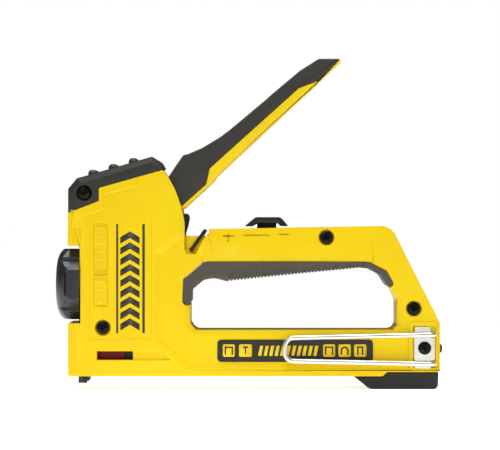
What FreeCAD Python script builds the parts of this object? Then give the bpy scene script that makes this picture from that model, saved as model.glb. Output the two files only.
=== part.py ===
import FreeCAD, Part
import math
import os
import re
import Sketcher

# A squeeze-handle stapler (multi-tacker). X runs from the nose (-) to the rear (+), Y across
# the tool, Z up. The tool stands on its magazine foot at Z = 0, and the moulding seam is Y = 0.

doc = FreeCAD.newDocument("tacker")
sheet = doc.addObject("Spreadsheet::Sheet", "dims")
sizes = {}
tied = {}


def name_sizes(**named):
    # each named size becomes one row of the sheet
    for alias, size in named.items():
        row = len(sizes) + 1
        sizes[alias] = float(size)
        sheet.set(f"A{row}", alias)
        sheet.set(f"B{row}", str(size))
        sheet.setAlias(f"B{row}", alias)


def tie_sizes(**sums):
    # a tied size is a sum of named ones, such as a bore that is its pin and a clearance
    tied.update(sums)


def amount(text):
    # the value of a sum such as "rearFace - wall/2"
    total = 0.0
    for sign, alias, share in re.findall(r"([+-]?)\s*([A-Za-z]\w*)(?:/(\d+))?", text):
        whole = amount(tied[alias]) if alias in tied else sizes[alias]
        size = whole / float(share or 1)
        total += -size if sign == "-" else size
    return total


def bound(text):
    # the same sum as an expression on the sheet
    def cell(match):
        alias = match[1]
        return f"({bound(tied[alias])})" if alias in tied else f"dims.{alias}"
    return re.sub(r"([A-Za-z]\w*)", cell, text)


def outline(name, points):
    # an outline's own coordinates become rows of the sheet; named ones are used as they are
    ready = []
    for number, point in enumerate(points, start=1):
        pair = []
        for letter, place in zip("uv", point):
            if not isinstance(place, str):
                alias = f"{name}_{letter}{number}"
                name_sizes(**{alias: place})
                place = alias
            pair.append(place)
        ready.append(pair)
    return ready


def new_body(label):
    body = doc.addObject("PartDesign::Body", label)
    body.Label = label
    body.Placement = FreeCAD.Placement()
    return body


def new_sketch(body, plane, offset, shift=("0", "0")):
    # a sketch on one of the body's own planes, moved along the plane's normal by offset
    sketch = body.newObject("Sketcher::SketchObject", body.Label + "_sketch")
    for feature in body.Origin.OriginFeatures:
        if feature.Role == plane:
            sketch.AttachmentSupport = [(feature, "")]
    sketch.MapMode = "FlatFace"
    sketch.setExpression("AttachmentOffset.Base.z", offset)
    sketch.setExpression("AttachmentOffset.Base.x", bound(shift[0]))
    sketch.setExpression("AttachmentOffset.Base.y", bound(shift[1]))
    return sketch


def draw_polygon(sketch, points):
    # closed polygon, each corner held by its two distances from the sketch's origin
    places = [FreeCAD.Vector(amount(u), amount(v), 0) for u, v in points]
    first = sketch.GeometryCount
    total = len(places)
    for number in range(total):
        line = Part.LineSegment(places[number], places[(number + 1) % total])
        sketch.addGeometry(line, False)
    for number in range(total):
        here = first + number
        after = first + (number + 1) % total
        sketch.addConstraint(Sketcher.Constraint("Coincident", here, 2, after, 1))
    for number, (u, v) in enumerate(points):
        for kind, text in (("DistanceX", u), ("DistanceY", v)):
            rule = Sketcher.Constraint(kind, -1, 1, first + number, 1, amount(text))
            index = sketch.addConstraint(rule)
            sketch.setExpression(f"Constraints[{index}]", bound(text))


def draw_circle(sketch, u, v, radius):
    centre = FreeCAD.Vector(amount(u), amount(v), 0)
    circle = Part.Circle(centre, FreeCAD.Vector(0, 0, 1), amount(radius))
    index = sketch.addGeometry(circle, False)
    for kind, text in (("DistanceX", u), ("DistanceY", v)):
        rule = Sketcher.Constraint(kind, -1, 1, index, 3, amount(text))
        place = sketch.addConstraint(rule)
        sketch.setExpression(f"Constraints[{place}]", bound(text))
    place = sketch.addConstraint(Sketcher.Constraint("Radius", index, amount(radius)))
    sketch.setExpression(f"Constraints[{place}]", bound(radius))


def draw(sketch, shape):
    # a shape is a list of corners, or a circle as (u, v, radius)
    if isinstance(shape, tuple):
        draw_circle(sketch, *shape)
    else:
        draw_polygon(sketch, shape)


def across(body, kind, shape, far, near="0", side=0):
    # a pad or pocket across the tool: side 0 spans -far..far, side -1 or 1 spans near..far on
    # that side. The sketch plane's normal is -Y; a pad follows it and a pocket goes against it
    low = f"-({bound(far)})" if side <= 0 else bound(near)
    high = bound(far) if side >= 0 else f"-({bound(near)})"
    start = high if kind == "Pad" else low
    return extrude(body, kind, "XZ_Plane", shape, f"-({start})", f"{high}-({low})")


def extrude(body, kind, plane, shape, offset, length, shift=("0", "0")):
    sketch = new_sketch(body, plane, offset, shift)
    draw(sketch, shape)
    doc.recompute()
    before = body.Shape.Volume if body.Tip and not body.Shape.isNull() else 0.0
    feature = body.newObject("PartDesign::" + kind, body.Label + "_" + kind.lower())
    feature.Profile = sketch
    feature.setExpression("Length", length)
    doc.recompute()
    change = body.Shape.Volume - before
    if change == 0.0 or (change > 0) != (kind == "Pad"):
        raise ValueError(f"{body.Label}: a {kind} changed the volume by {change:.3f}")
    return feature


def along_x(body, kind, shape, low, high, shift=("0", "0")):
    # a pad or pocket along the tool between two X places, drawn on the YZ plane
    start = low if kind == "Pad" else high
    length = f"({bound(high)})-({bound(low)})"
    return extrude(body, kind, "YZ_Plane", shape, bound(start), length, shift)


def upright(body, kind, shape, low, high):
    # a pad or pocket between two heights, drawn on the XY plane
    start = low if kind == "Pad" else high
    length = f"({bound(high)})-({bound(low)})"
    return extrude(body, kind, "XY_Plane", shape, bound(start), length)


def box_outline(low_u, low_v, high_u, high_v):
    return [(low_u, low_v), (high_u, low_v), (high_u, high_v), (low_u, high_v)]


def chamfer(body, size, wanted):
    # chamfer the edges of the body's tip that wanted() picks by their middle point
    names = []
    for number, edge in enumerate(body.Shape.Edges, start=1):
        middle = edge.valueAt((edge.FirstParameter + edge.LastParameter) / 2)
        if wanted(middle, edge):
            names.append(f"Edge{number}")
    base = body.Tip
    feature = body.newObject("PartDesign::Chamfer", body.Label + "_chamfer")
    feature.Base = (base, names)
    feature.setExpression("Size", bound(size))
    doc.recompute()
    return feature


# ==== sizes and outlines, in millimetres ====

# places and sizes shared by several pieces
name_sizes(
    headHalf=17.0, barHalf=15.5, wall=2.5, touchGap=0.1, runGap=0.3, fitGap=0.05,
    frontFace=-93.5, rearFace=98.1, shellBottom=6.9, rearBottom=9.1,
    notchFloor=-87.3, notchLow=34.2, notchHigh=74.0,
    dialAxis=54.1, pivotX=-52.0, pivotZ=104.8, pinRadius=3.0,
    leverX=-50.5, leverZ=73.5, leverPinRadius=2.5,
    channelTop=24.0, channelFloor=-1.0,
    headTopX=-77.5, headTopZ=103.8, cheekX=-44.8, cheekZ=113.0,
    brow=97.1, capSeat=90.9, aboveAll=130.0,
)

# sizes tied to the pieces that they fit
name_sizes(
    pinGap=0.06, linkPlay=0.5, plateStand=0.2, pinEnd=1.4, gripProud=0.3, trackRoom=0.6,
    armGap=1.0, coverWall=1.7, coverProud=0.2, bailSink=2.1, bailRoom=0.2, hookGap=0.15,
    hookSpring=0.55, hookSunk=4.5, hookHeadThick=1.5, stapleRoom=2.2, guideGap=0.5,
    bladeGap=0.4, sinkRoom=0.7, slotPlay=0.5, linkGap=0.6, linkThick=2.1, pinProud=0.4,
    coilGap=0.6, coilThick=2.0, rodRoom=0.8,
)
tie_sizes(
    armBore="pinRadius+pinGap",
    leverBore="leverPinRadius+pinGap",
    linkTopBore="linkTopPin+pinGap",
    linkLowBore="linkPinRadius+linkPlay",
    shaftHole="pinRadius+pinGap",
    bailEye="bailWire+fitGap",
    wireRoom="wireRadius+fitGap",
    plateFloor="barHalf+plateStand",
    pinReach="headHalf-pinEnd",
    pinBossDepth="armHalf+runGap",
    gripHalf="barHalf+gripProud",
    plateHalf="headHalf-wall-touchGap",
    capHalf="headHalf",
    channelHalf="trackHalf+trackRoom",
    noseHalf="channelHalf-touchGap",
    armHalf="headHalf-wall-armGap",
    coreHalf="armHalf-coverWall",
    coverHalf="armHalf+coverProud",
    bailLeg="barHalf-bailSink",
    recessFloor="bailLeg-bailWire-bailRoom",
    hookSeat="plateFloor+plateThick+wireRadius+hookGap",
    hookOut="hookSeat+hookSpring",
    hookDeep="barHalf-hookSunk",
    anchorFloor="hookDeep-runGap",
    hookScrewTop="plateFloor+plateThick+hookHeadThick",
    railHalf="trackHalf-trackWall-stapleRoom",
    followerInner="railHalf+runGap",
    followerHalf="trackHalf-trackWall-runGap",
    guideBack="bladeFront-guideGap",
    plateBack="bladeFront-runGap",
    trackFront="bladeBack+bladeGap",
    sinkRadius="dialScrewHead+sinkRoom",
    slotHalf="stemHalf+runGap",
    tipSlotHalf="leverHalf+slotPlay",
    linkInner="leverHalf+linkGap",
    linkOuter="linkInner+linkThick",
    linkPinHalf="linkOuter+pinProud",
    returnInner="pinRadius+coilGap",
    returnOuter="returnInner+coilThick",
    lugOuter="armHalf-touchGap",
    rodHoleHalf="rodRadius+rodRoom",
)

# outlines that pieces share
shell_outline = outline("shell", [
    ("frontFace", "shellBottom"), (68.5, "shellBottom"), (70.8, "rearBottom"),
    ("rearFace", "rearBottom"), ("rearFace", 34.2), (94.5, 41.5), (77.5, 74.9), (75.6, 79.0),
    (73.2, 82.3), (69.8, 84.2), (-33.2, 82.4), (-33.4, 86.5), (-34.8, 93.5), (-38.0, 102.5),
    (-41.7, 109.4), ("cheekX", "cheekZ"), ("headTopX", "headTopZ"), ("headTopX", "brow"),
    ("frontFace", "capSeat"), ("frontFace", "notchHigh"), ("notchFloor", "notchHigh"),
    ("notchFloor", "notchLow"), ("frontFace", "notchLow"),
])
opening_outline = outline("opening", [
    (-30.4, 33.6), (-27.4, 30.6), (73.6, 30.6), (76.0, 33.0), (76.0, 46.0), (72.4, 52.8),
    (74.2, 54.3), (70.8, 61.0), (61.5, 65.7), (-22.4, 65.9), (-23.9, 65.4), (-34.0, 56.9),
    (-34.5, 45.1), (-33.6, 43.9), (-30.4, 43.8),
])
head_hollow = outline("hollow", [
    ("notchFloor", 20.0), (-82.5, 20.0), (-82.5, 26.5), (-47.5, 26.5), (-47.5, 68.0),
    (-33.3, 68.0), (-33.3, "aboveAll"), (-91.0, "aboveAll"), (-91.0, 76.7),
    ("notchFloor", 76.7),
])
neck_hollow = outline("neck", [(-47.6, 26.5), (-37.3, 26.5), (-37.3, 67.9), (-47.6, 67.9)])
bar_hollow = outline("barHollow", [
    (-18.0, 69.0), (63.0, 68.6), (72.8, 63.5), (77.5, 54.0), (78.6, 47.0), (78.6, 37.3),
    (93.2, 37.3), (91.6, 41.0), (74.8, 74.0), (71.8, 79.5), (69.0, 81.5), (-18.0, 79.8),
])
side_step = outline("step", [
    (-32.6, 84.0), (-34.8, 78.0), (-46.1, 69.3), (-46.1, 26.5), (-34.2, 16.2), (-30.0, 13.1),
    (101.0, 13.1), (101.0, 90.0), (-32.6, 90.0),
])
panel_recess = outline("panel", [
    (-74.9, 100.2), (-74.9, 93.0), (-82.1, 89.9), (-82.1, 25.5), (-50.7, 25.5), (-50.7, 89.4),
    (-59.5, 104.3),
])
bail_recess = outline("bailRecess", [
    (-33.3, 84.0), (-20.9, 84.0), (-20.9, 81.0), (-24.0, 77.0), (-27.6, 69.8), (-32.2, 69.8),
    (-33.3, 72.0),
])
pedestal_outline = outline("pedestal", [
    (82.1, 11.0), (84.0, "rearBottom"), (94.8, "rearBottom"), (96.6, 11.0), (96.6, 33.0),
    (94.8, 34.8), (84.0, 34.8), (82.1, 33.0),
])
window_box = outline("window", box_outline(-78.5, 15.2, -60.0, 19.8))
name_sizes(
    panelDepth=0.7, troughFloor=79.0, troughFront=-33.3,
    troughRear=-20.9, rodHoleLow=72.6, rodHoleHigh=77.4,
    slotFront=-8.6, slotRear=20.6,
    screwOneX=-75.4, screwOneZ=31.9, screwTwoX=39.7, screwTwoZ=78.3,
    screwThreeX=84.7, screwThreeZ=41.7, capScrewX=-85.0, capScrewZ=101.2,
    screwRecess=4.1, recessDepth=2.2, screwHead=3.5, headThick=1.8, screwShaft=1.5,
    screwReach=9.0, bossRadius=4.2, pinBoss=5.5,
)

# belt hook seat, used by the left shell
hook_plate_outline = outline("plate", [
    (85.0, 10.3), (93.2, 10.3), (93.2, 15.2), (95.3, 15.2), (95.3, 26.5), (93.2, 26.5),
    (93.2, 32.2), (85.0, 32.2), (85.0, 26.5), (84.7, 26.5), (84.7, 15.2), (85.0, 15.2),
])
name_sizes(
    plateThick=1.2, wireRadius=1.3,
    hookHigh=28.3, hookLow=13.3, hookAnchor=94.95, hookLoop=18.3,
    hookScrewX=90.1, hookScrewZ=21.4, hookScrewHead=3.45,
    bailX=-29.9, bailZ=71.8, bailWire=0.9, bailEnd=9.0, bailRod=-17.9,
)

# head cap: a hood over the top of the head, open below and at the back
cap_outline = outline("cap", [
    ("frontFace", "capSeat+touchGap"), ("headTopX-touchGap", "brow+touchGap"),
    ("headTopX-touchGap", "headTopZ+touchGap"), ("cheekX", "cheekZ+touchGap"), (-43.8, 114.1),
    (-45.6, 117.2), (-50.2, 120.0), (-84.7, 110.0), (-88.9, 108.9), ("frontFace", 103.3),
])
cap_hollow = outline("capHollow", [
    (-91.0, 80.0), (-40.0, 80.0), (-40.0, 112.0), (-49.9, 117.3), (-84.2, 107.3),
    (-87.9, 106.3), (-91.0, 102.4),
])
name_sizes(capChamfer=3.3, ribHalf=12.5)
rib_outline = outline("rib", [(-2.6, -1.0), (2.6, -1.0), (2.2, 1.3), (1.2, 2.2), (-1.2, 2.2),
                              (-2.2, 1.3)])
name_sizes(ribOneX=-80.9, ribOneZ=111.0, ribTwoX=-70.4, ribTwoZ=114.0, ribThreeX=-60.0,
           ribThreeZ=117.1)

# the screws that close the case, and the one in the cap
name_sizes(screwLength=19.0, capScrewLength=12.0)

# soft grip around the top of the finger opening
grip_outline = outline("grip", [
    (-34.4, 45.4), (-33.5, 44.2), (-30.6, 43.9), (-29.6, 45.0), (-29.6, 51.2), (-23.4, 56.4),
    (-18.8, 57.2), (-16.2, 56.9), (-11.6, 55.6), (56.9, 62.6), (61.0, 62.3), (67.2, 59.0),
    (71.3, 52.8), (72.3, 52.9), (74.1, 54.4), (70.7, 60.9), (61.4, 65.6), (-22.4, 65.8),
    (-23.8, 65.3), (-33.9, 56.8),
])

# badges on the lower bar
label_outline = outline("label", [
    (-16.5, 16.0), (-14.7, 14.2), (61.8, 14.2), (63.6, 16.0), (63.6, 23.9), (61.8, 25.7),
    (-14.7, 25.7), (-16.5, 23.9),
])
name_sizes(labelThick=0.4)

# steel front plate: closes the head behind the dial and forms the nose
name_sizes(
    plateFront=-87.2, plateTop=80.0, plateStep=26.6,
    noseBottom=2.9, noseTop=7.3, noseFront=-88.6, noseBack=-84.0, noseInner=6.0,
    guideHalf=4.0, guideSlotTop=49.9, studTip=2.0, driveAxis=0.0,
)

# cable guide: slides down beside the staple exit when the dial is turned
name_sizes(guideTop=47.6, guidePinZ=46.0, guidePinRadius=1.5, guidePinFront=-89.1,
           guideFoot=-88.5, guideFootTop=6.6)

# selector dial: an octagon with a domed front, turning on a shoulder screw
name_sizes(dialHalf=18.25, dialBack=-87.6, dialFront=-100.0, dialSide=7.56,
           grooveInner=6.4, grooveOuter=13.8, grooveBack=-89.5, sinkFloor=-96.9)
dome_cut = outline("dome", [
    (-103.0, 11.0), (-103.0, 24.0), (-86.0, 24.0), (-86.0, 19.4), (-93.5, 19.4), (-96.4, 18.2),
    (-98.6, 16.0), (-99.8, 13.2), ("dialFront", 11.0),
])
name_sizes(dialScrewHead=4.5, dialScrewSeat=-97.2, dialScrewFront=-99.2)

# driver: plunger block and blade, lifted together and thrown down by the spring
name_sizes(
    plungerFront=-84.1, plungerBack=-70.0, plungerHalf=9.0, plungerLow=56.0, plungerTop=72.0,
    tipSlotFront=-77.0, tipSlotLow=62.0, tipSlotTop=70.2,
    bladeFront=-85.4, bladeBack=-84.2, bladeHalf=5.5, bladeLow=6.0,
)

# power spring between the plunger and its seat under the cap
name_sizes(springX=-76.8, springRadius=7.2, springBore=4.9, seatLow=103.6, seatTop=106.2,
           seatRadius=7.6)
name_sizes(bumperLow=36.4, bumperTop=45.0, bumperFront=-83.6, bumperBack=-66.0, bumperHalf=12.0)

# trip lever: lifts the plunger with its tip
lever_outline = outline("lever", [
    (-46.2, 72.0), (-46.2, 75.2), (-49.0, 77.8), (-52.4, 77.6), (-63.0, 72.4), (-73.2, 67.6),
    (-74.8, 66.6), (-74.8, 65.2), (-73.4, 64.4), (-63.6, 66.0), (-51.0, 69.2), (-48.0, 69.6),
])
name_sizes(leverHalf=2.5, linkLowX=-62.85, linkLowZ=69.44, linkPinRadius=1.5)
name_sizes(linkTopX=-61.0, linkTopZ=94.1, linkTopPin=2.0)

# the pair of links between the handle's lugs and the trip lever
link_outline = outline("link", [
    (-64.3, 96.0), (-64.4, 92.0), (-66.2, 70.0), (-65.6, 67.0), (-63.0, 66.0), (-60.2, 67.0),
    (-59.5, 69.2), (-57.6, 92.0), (-58.0, 96.0), (-61.0, 97.6),
])

# squeeze handle: channel with a hub at the pivot, and a soft cover over its top
name_sizes(armInner=9.6)
arm_outline = outline("arm", [
    (-33.7, 93.2), (-18.3, 107.4), (-16.7, 109.9), (47.6, 169.7), (46.9, 170.3), (35.8, 159.2),
    (25.5, 155.3), (-4.9, 127.8), (-20.5, 113.9), (-22.3, 105.7), (-35.4, 94.1),
    (-42.5, 108.6), (-46.6, 112.6), (-52.0, 114.2), (-57.6, 112.3), (-60.8, 107.6),
    (-61.0, 101.0), (-65.2, 96.2), (-65.4, 92.6), (-62.6, 89.8), (-59.2, 89.8), (-56.2, 92.6),
    (-50.0, 94.2), (-42.0, 92.4),
])
core_outline = outline("core", [
    (-46.0, 96.0), (-35.4, 94.0), (-22.3, 105.6), (-20.5, 113.8), (-4.9, 127.7), (25.5, 155.2),
    (35.8, 159.1), (41.0, 164.3), (38.5, 167.0), (27.0, 162.0), (8.5, 146.6), (-15.2, 127.0),
    (-24.5, 121.8), (-32.2, 118.4), (-42.0, 109.4),
])
arm_hollow = outline("armHollow", [
    (-70.0, 80.0), (-25.0, 80.0), (-10.0, 107.0), (41.0, 154.6), (37.6, 158.2), (26.4, 153.0),
    (6.0, 136.6), (-17.0, 117.6), (-26.0, 113.6), (-34.0, 111.0), (-41.0, 121.0),
    (-70.0, 121.0),
])
cover_outline = outline("cover", [
    (-35.4, 94.2), (-22.4, 105.8), (-20.6, 114.0), (-4.9, 127.9), (25.5, 155.4), (35.8, 159.3),
    (46.8, 170.4), (45.1, 170.5), (35.8, 170.5), (26.0, 164.3), (11.6, 152.2), (8.5, 149.4),
    (-10.0, 133.9), (-15.2, 130.0), (-24.5, 124.4), (-31.7, 121.3), (-34.2, 120.8),
    (-42.3, 108.8),
])
cover_hollow = outline("coverHollow", [
    (-47.0, 96.0), (-35.4, 93.0), (-22.2, 104.0), (-20.4, 112.0), (-4.8, 126.0), (25.5, 154.0),
    (36.0, 158.0), (41.1, 164.3), (38.5, 167.1), (27.0, 162.1), (8.5, 146.7), (-15.2, 127.1),
    (-24.5, 121.9), (-32.2, 118.5), (-42.1, 109.4),
])

# two steel tabs inside the handle that the lock bail catches
tab_outline = outline("tab", [(-27.2, 102.6), (-23.6, 102.6), (-21.4, 106.4), (-25.4, 107.4)])
name_sizes(tabInner=7.6)

# return spring round the handle pin
name_sizes(returnHalf=8.8)

# rubber stop that the closed handle lands on
stop_outline = outline("stop", [
    (-36.6, 79.2), (-33.4, 79.2), (-31.9, 84.0), (-31.0, 88.4), (-31.6, 90.2), (-33.2, 90.8),
    (-34.6, 89.6), (-34.9, 84.0),
])
name_sizes(stopHalf=4.0)

# power slider on the top bar with its stem and rod
slider_outline = outline("slider", [
    (-2.6, 84.0), (1.3, 87.3), (3.3, 88.8), (15.7, 88.8), (17.3, 87.6), (20.2, 84.1),
    (16.2, 84.1), (14.7, 85.7), (4.4, 85.7), (1.8, 84.0),
])
name_sizes(sliderHalf=8.0, stemHalf=3.0, stemFront=4.0, stemRear=14.0, stemLow=75.8,
           stemTop=86.0, rodZ=75.0, rodRadius=1.4, rodFront=-31.5)

# staple track and the magazine that slides in it
name_sizes(
    trackHalf=7.5, trackWall=1.0, trackLow=7.4, trackTop=23.5,
    trackRear=83.5, lipLow=4.2, lipBack=-82.8, railWall=0.9,
    railFront=-82.4, railRear=85.8, railLow=8.6, railTop=19.8, railSlotHalf=1.2,
    railSlotRear=24.0,
)

# magazine foot with the tongue that carries the rail
foot_outline = outline("foot", [
    (53.8, 6.5), (61.5, 0.5), (63.0, 0.0), (95.8, 0.0), (97.3, 1.5), (97.6, 8.8), (71.0, 8.8),
    (68.4, 6.5),
])
name_sizes(footHalf=13.0, footFront=50.0, footTongue=84.0, tongueHalf=6.0, tongueTop=17.8, tongueRear=97.4,
           seatRear=86.0, seatHeight=22.6)

# follower that pushes the staples, and its spring inside the rail
follower_outline = outline("follower", [
    (-82.2, 8.4), (-66.8, 8.4), (-64.9, 15.0), (-63.4, 21.6), (-82.2, 21.6),
])
name_sizes(followerCrown=20.1, tongueFront=-69.0,
           tongueBack=-65.4, catchHalf=0.9, catchLow=10.4, catchWide=2.8, catchTop=16.6,
           followerSpringZ=13.5, followerSpringR=2.4, followerSpringBore=1.7)

# release button at the rear, with its spring
name_sizes(buttonLow=18.3, buttonTop=22.9, buttonFront=90.4, buttonRear=100.2, buttonHalf=5.0,
           buttonZ=20.4, latchRadius=1.7, latchBore=1.1, buttonBevel=0.8)

# belt hook: sheet plate, screw and bent wire
name_sizes(hookBend=2.0, hookLoopBend=4.5, hookLean=1.6)

# lock bail: a wire loop that folds over the closed handle
name_sizes(bailTipX=-23.2, bailTipZ=81.6, bailBend=2.2)

sheet.recompute()


# ==== the pieces ====
case_screws_at = [("screwOneX", "screwOneZ", "headHalf"), ("screwTwoX", "screwTwoZ", "barHalf"),
                  ("screwThreeX", "screwThreeZ", "barHalf")]


def make_shell(label, side):
    # one moulded half: outline, side step, hollows, openings, bosses and recesses
    body = new_body(label)
    across(body, "Pad", shell_outline, "headHalf", "0", side)
    across(body, "Pocket", side_step, "headHalf+wall", "barHalf", side)
    across(body, "Pocket", opening_outline, "headHalf+wall", "0", side)
    across(body, "Pocket", head_hollow, "headHalf-wall", "0", side)
    across(body, "Pocket", neck_hollow, "barHalf-wall", "0", side)
    across(body, "Pocket", bar_hollow, "barHalf-wall", "0", side)
    channel = box_outline("notchFloor", "channelFloor", "rearFace+wall", "channelTop")
    across(body, "Pocket", channel, "channelHalf", "0", side)
    across(body, "Pocket", window_box, "headHalf+wall", "channelHalf-touchGap", side)
    across(body, "Pocket", panel_recess, "headHalf+wall", "headHalf-panelDepth", side)
    across(body, "Pocket", bail_recess, "headHalf+wall", "recessFloor", side)
    trough = box_outline("troughFront", "troughFloor", "troughRear", "aboveAll-wall")
    across(body, "Pocket", trough, "headHalf-wall", "0", side)
    rod_hole = box_outline("troughFront-wall", "rodHoleLow", "bailRod", "rodHoleHigh")
    across(body, "Pocket", rod_hole, "rodHoleHalf", "0", side)
    slot = box_outline("slotFront", "troughFloor", "slotRear", "aboveAll-wall")
    across(body, "Pocket", slot, "slotHalf", "0", side)
    for x_place, z_place, face in case_screws_at:
        boss = (x_place, z_place, "bossRadius")
        across(body, "Pad", boss, f"{face}-recessDepth-touchGap", "0", side)
    for place in (("pivotX", "pivotZ"), ("leverX", "leverZ")):
        across(body, "Pad", (*place, "pinBoss"), "headHalf-wall/2", "pinBossDepth", side)
    across(body, "Pocket", ("pivotX", "pivotZ", "pinRadius"), "pinReach", "0", side)
    across(body, "Pocket", ("leverX", "leverZ", "leverPinRadius"), "pinReach", "0", side)
    across(body, "Pocket", ("bailX", "bailZ", "bailEye"), "barHalf", "bailEnd", side)
    if side < 0:
        across(body, "Pad", pedestal_outline, "plateFloor+plateThick", "barHalf-wall/2", side)
        across(body, "Pocket", hook_plate_outline, "headHalf+wall", "plateFloor", side)
        for height in ("hookHigh", "hookLow"):
            anchor = ("hookAnchor", height, "wireRoom")
            across(body, "Pocket", anchor, "headHalf+wall", "anchorFloor", side)
        across(body, "Pocket", ("hookScrewX", "hookScrewZ", "screwShaft"), "headHalf+wall",
               "channelHalf+wall", side)
    for x_place, z_place, face in case_screws_at:
        shaft = (x_place, z_place, "screwShaft")
        if side < 0:
            recess = (x_place, z_place, "screwRecess")
            across(body, "Pocket", recess, "headHalf+wall", f"{face}-recessDepth", side)
            across(body, "Pocket", shaft, f"{face}-recessDepth+touchGap", "0", side)
        else:
            across(body, "Pocket", shaft, "screwReach", "0", side)
    return body


left_shell = make_shell("left_shell", -1)
right_shell = make_shell("right_shell", 1)

# ---- head cap: a hood over the top of the head, open below and at the back ----
head_cap = new_body("head_cap")
across(head_cap, "Pad", cap_outline, "capHalf")
chamfer(head_cap, "capChamfer", lambda place, edge: (
    abs(abs(place.y) - amount("capHalf")) < 0.01
    and (place.z > 109.2 and place.x < -46.0 or place.x < -88.0 and place.z > 100.0)
    and edge.Length > 5.0))
across(head_cap, "Pocket", cap_hollow, "capHalf-wall")
for x_place, z_place in (("ribOneX", "ribOneZ"), ("ribTwoX", "ribTwoZ"),
                         ("ribThreeX", "ribThreeZ")):
    corners = [(f"{x_place}+{u}", f"{z_place}+{v}") for u, v in rib_outline]
    across(head_cap, "Pad", corners, "ribHalf")
across(head_cap, "Pocket", ("capScrewX", "capScrewZ", "screwRecess"), "headHalf+wall",
       "headHalf-recessDepth", -1)
across(head_cap, "Pocket", ("capScrewX", "capScrewZ", "screwShaft"),
       "headHalf-recessDepth+touchGap", "headHalf-wall-touchGap", -1)

# ---- the screws that close the case, and the one in the cap ----
case_screws = doc.addObject("Part::MultiFuse", "case_screws")
case_screws.Label = "case_screws"
screw_parts = []
screw_places = [("screwOneX", "screwOneZ", "headHalf", "screwLength"),
                ("screwTwoX", "screwTwoZ", "barHalf", "screwLength"),
                ("screwThreeX", "screwThreeZ", "barHalf", "screwLength"),
                ("capScrewX", "capScrewZ", "headHalf", "capScrewLength")]
for x_place, z_place, face, length in screw_places:
    for radius, start, size in (("screwHead", f"{face}-recessDepth", "-headThick"),
                                ("screwShaft", f"{face}-recessDepth", length)):
        rod = doc.addObject("Part::Cylinder", "screw_rod")
        rod.Placement = FreeCAD.Placement(FreeCAD.Vector(), FreeCAD.Rotation(
            FreeCAD.Vector(1, 0, 0), -90))
        outward = size.startswith("-")
        base = f"-({bound(start)})" + ("-dims.headThick" if outward else "")
        rod.setExpression("Radius", bound(radius))
        rod.setExpression("Height", bound(size.lstrip("-")))
        rod.setExpression("Placement.Base.x", bound(x_place))
        rod.setExpression("Placement.Base.y", base)
        rod.setExpression("Placement.Base.z", bound(z_place))
        screw_parts.append(rod)
case_screws.Shapes = screw_parts


def round_pin(label, x_place, z_place, radius, half):
    body = new_body(label)
    across(body, "Pad", (x_place, z_place, radius), half)
    return body


# ---- pins that carry the handle and the trip lever ----
round_pin("handle_pin", "pivotX", "pivotZ", "pinRadius", "pinReach")
round_pin("lever_pin", "leverX", "leverZ", "leverPinRadius", "pinReach")

# ---- soft grip around the top of the finger opening ----
finger_grip = new_body("finger_grip")
across(finger_grip, "Pad", grip_outline, "gripHalf")

# ---- badges on the lower bar ----
for label, side in (("left_label", -1), ("right_label", 1)):
    across(new_body(label), "Pad", label_outline, "barHalf+labelThick", "barHalf", side)

# ---- steel front plate: closes the head behind the dial and forms the nose ----
front_plate = new_body("front_plate")
tee = [("-noseHalf", "noseTop"), ("noseHalf", "noseTop"), ("noseHalf", "plateStep"),
       ("plateHalf", "plateStep"), ("plateHalf", "plateTop"), ("-plateHalf", "plateTop"),
       ("-plateHalf", "plateStep"), ("-noseHalf", "plateStep")]
along_x(front_plate, "Pad", tee, "plateFront", "plateBack")
nose_block = [("-noseHalf", "noseBottom"), ("noseHalf", "noseBottom"),
              ("noseHalf", "shellBottom-touchGap"), ("-noseHalf", "shellBottom-touchGap")]
along_x(front_plate, "Pad", nose_block, "noseFront", "noseBack")
nose_neck = [("-noseHalf", "noseBottom+wall"), ("noseHalf", "noseBottom+wall"),
             ("noseHalf", "noseTop+wall"), ("-noseHalf", "noseTop+wall")]
along_x(front_plate, "Pad", nose_neck, "plateFront", "noseBack")
drive_gap = [("-noseInner", "channelFloor"), ("noseInner", "channelFloor"),
             ("noseInner", "noseTop+wall+wall"), ("-noseInner", "noseTop+wall+wall")]
along_x(front_plate, "Pocket", drive_gap, "plateBack", "noseBack+wall")
guide_slot = [("-guideHalf-fitGap", "channelFloor"), ("guideHalf+fitGap", "channelFloor"),
              ("guideHalf+fitGap", "guideSlotTop"), ("-guideHalf-fitGap", "guideSlotTop")]
along_x(front_plate, "Pocket", guide_slot, "noseFront-wall", "noseBack+wall")
along_x(front_plate, "Pocket", ("driveAxis", "dialAxis", "studTip"), "noseFront-wall",
        "noseBack+wall")

# ---- cable guide: slides down beside the staple exit when the dial is turned ----
cable_guide = new_body("cable_guide")
guide_bar = [("-guideHalf", "noseBottom"), ("guideHalf", "noseBottom"),
             ("guideHalf", "guideTop"), ("-guideHalf", "guideTop")]
along_x(cable_guide, "Pad", guide_bar, "plateFront", "guideBack")
guide_toe = [("-guideHalf", "noseBottom"), ("guideHalf", "noseBottom"),
             ("guideHalf", "guideFootTop"), ("-guideHalf", "guideFootTop")]
along_x(cable_guide, "Pad", guide_toe, "guideFoot", "guideBack")
along_x(cable_guide, "Pad", ("driveAxis", "guidePinZ", "guidePinRadius"), "guidePinFront",
        "plateFront+fitGap")

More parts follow.
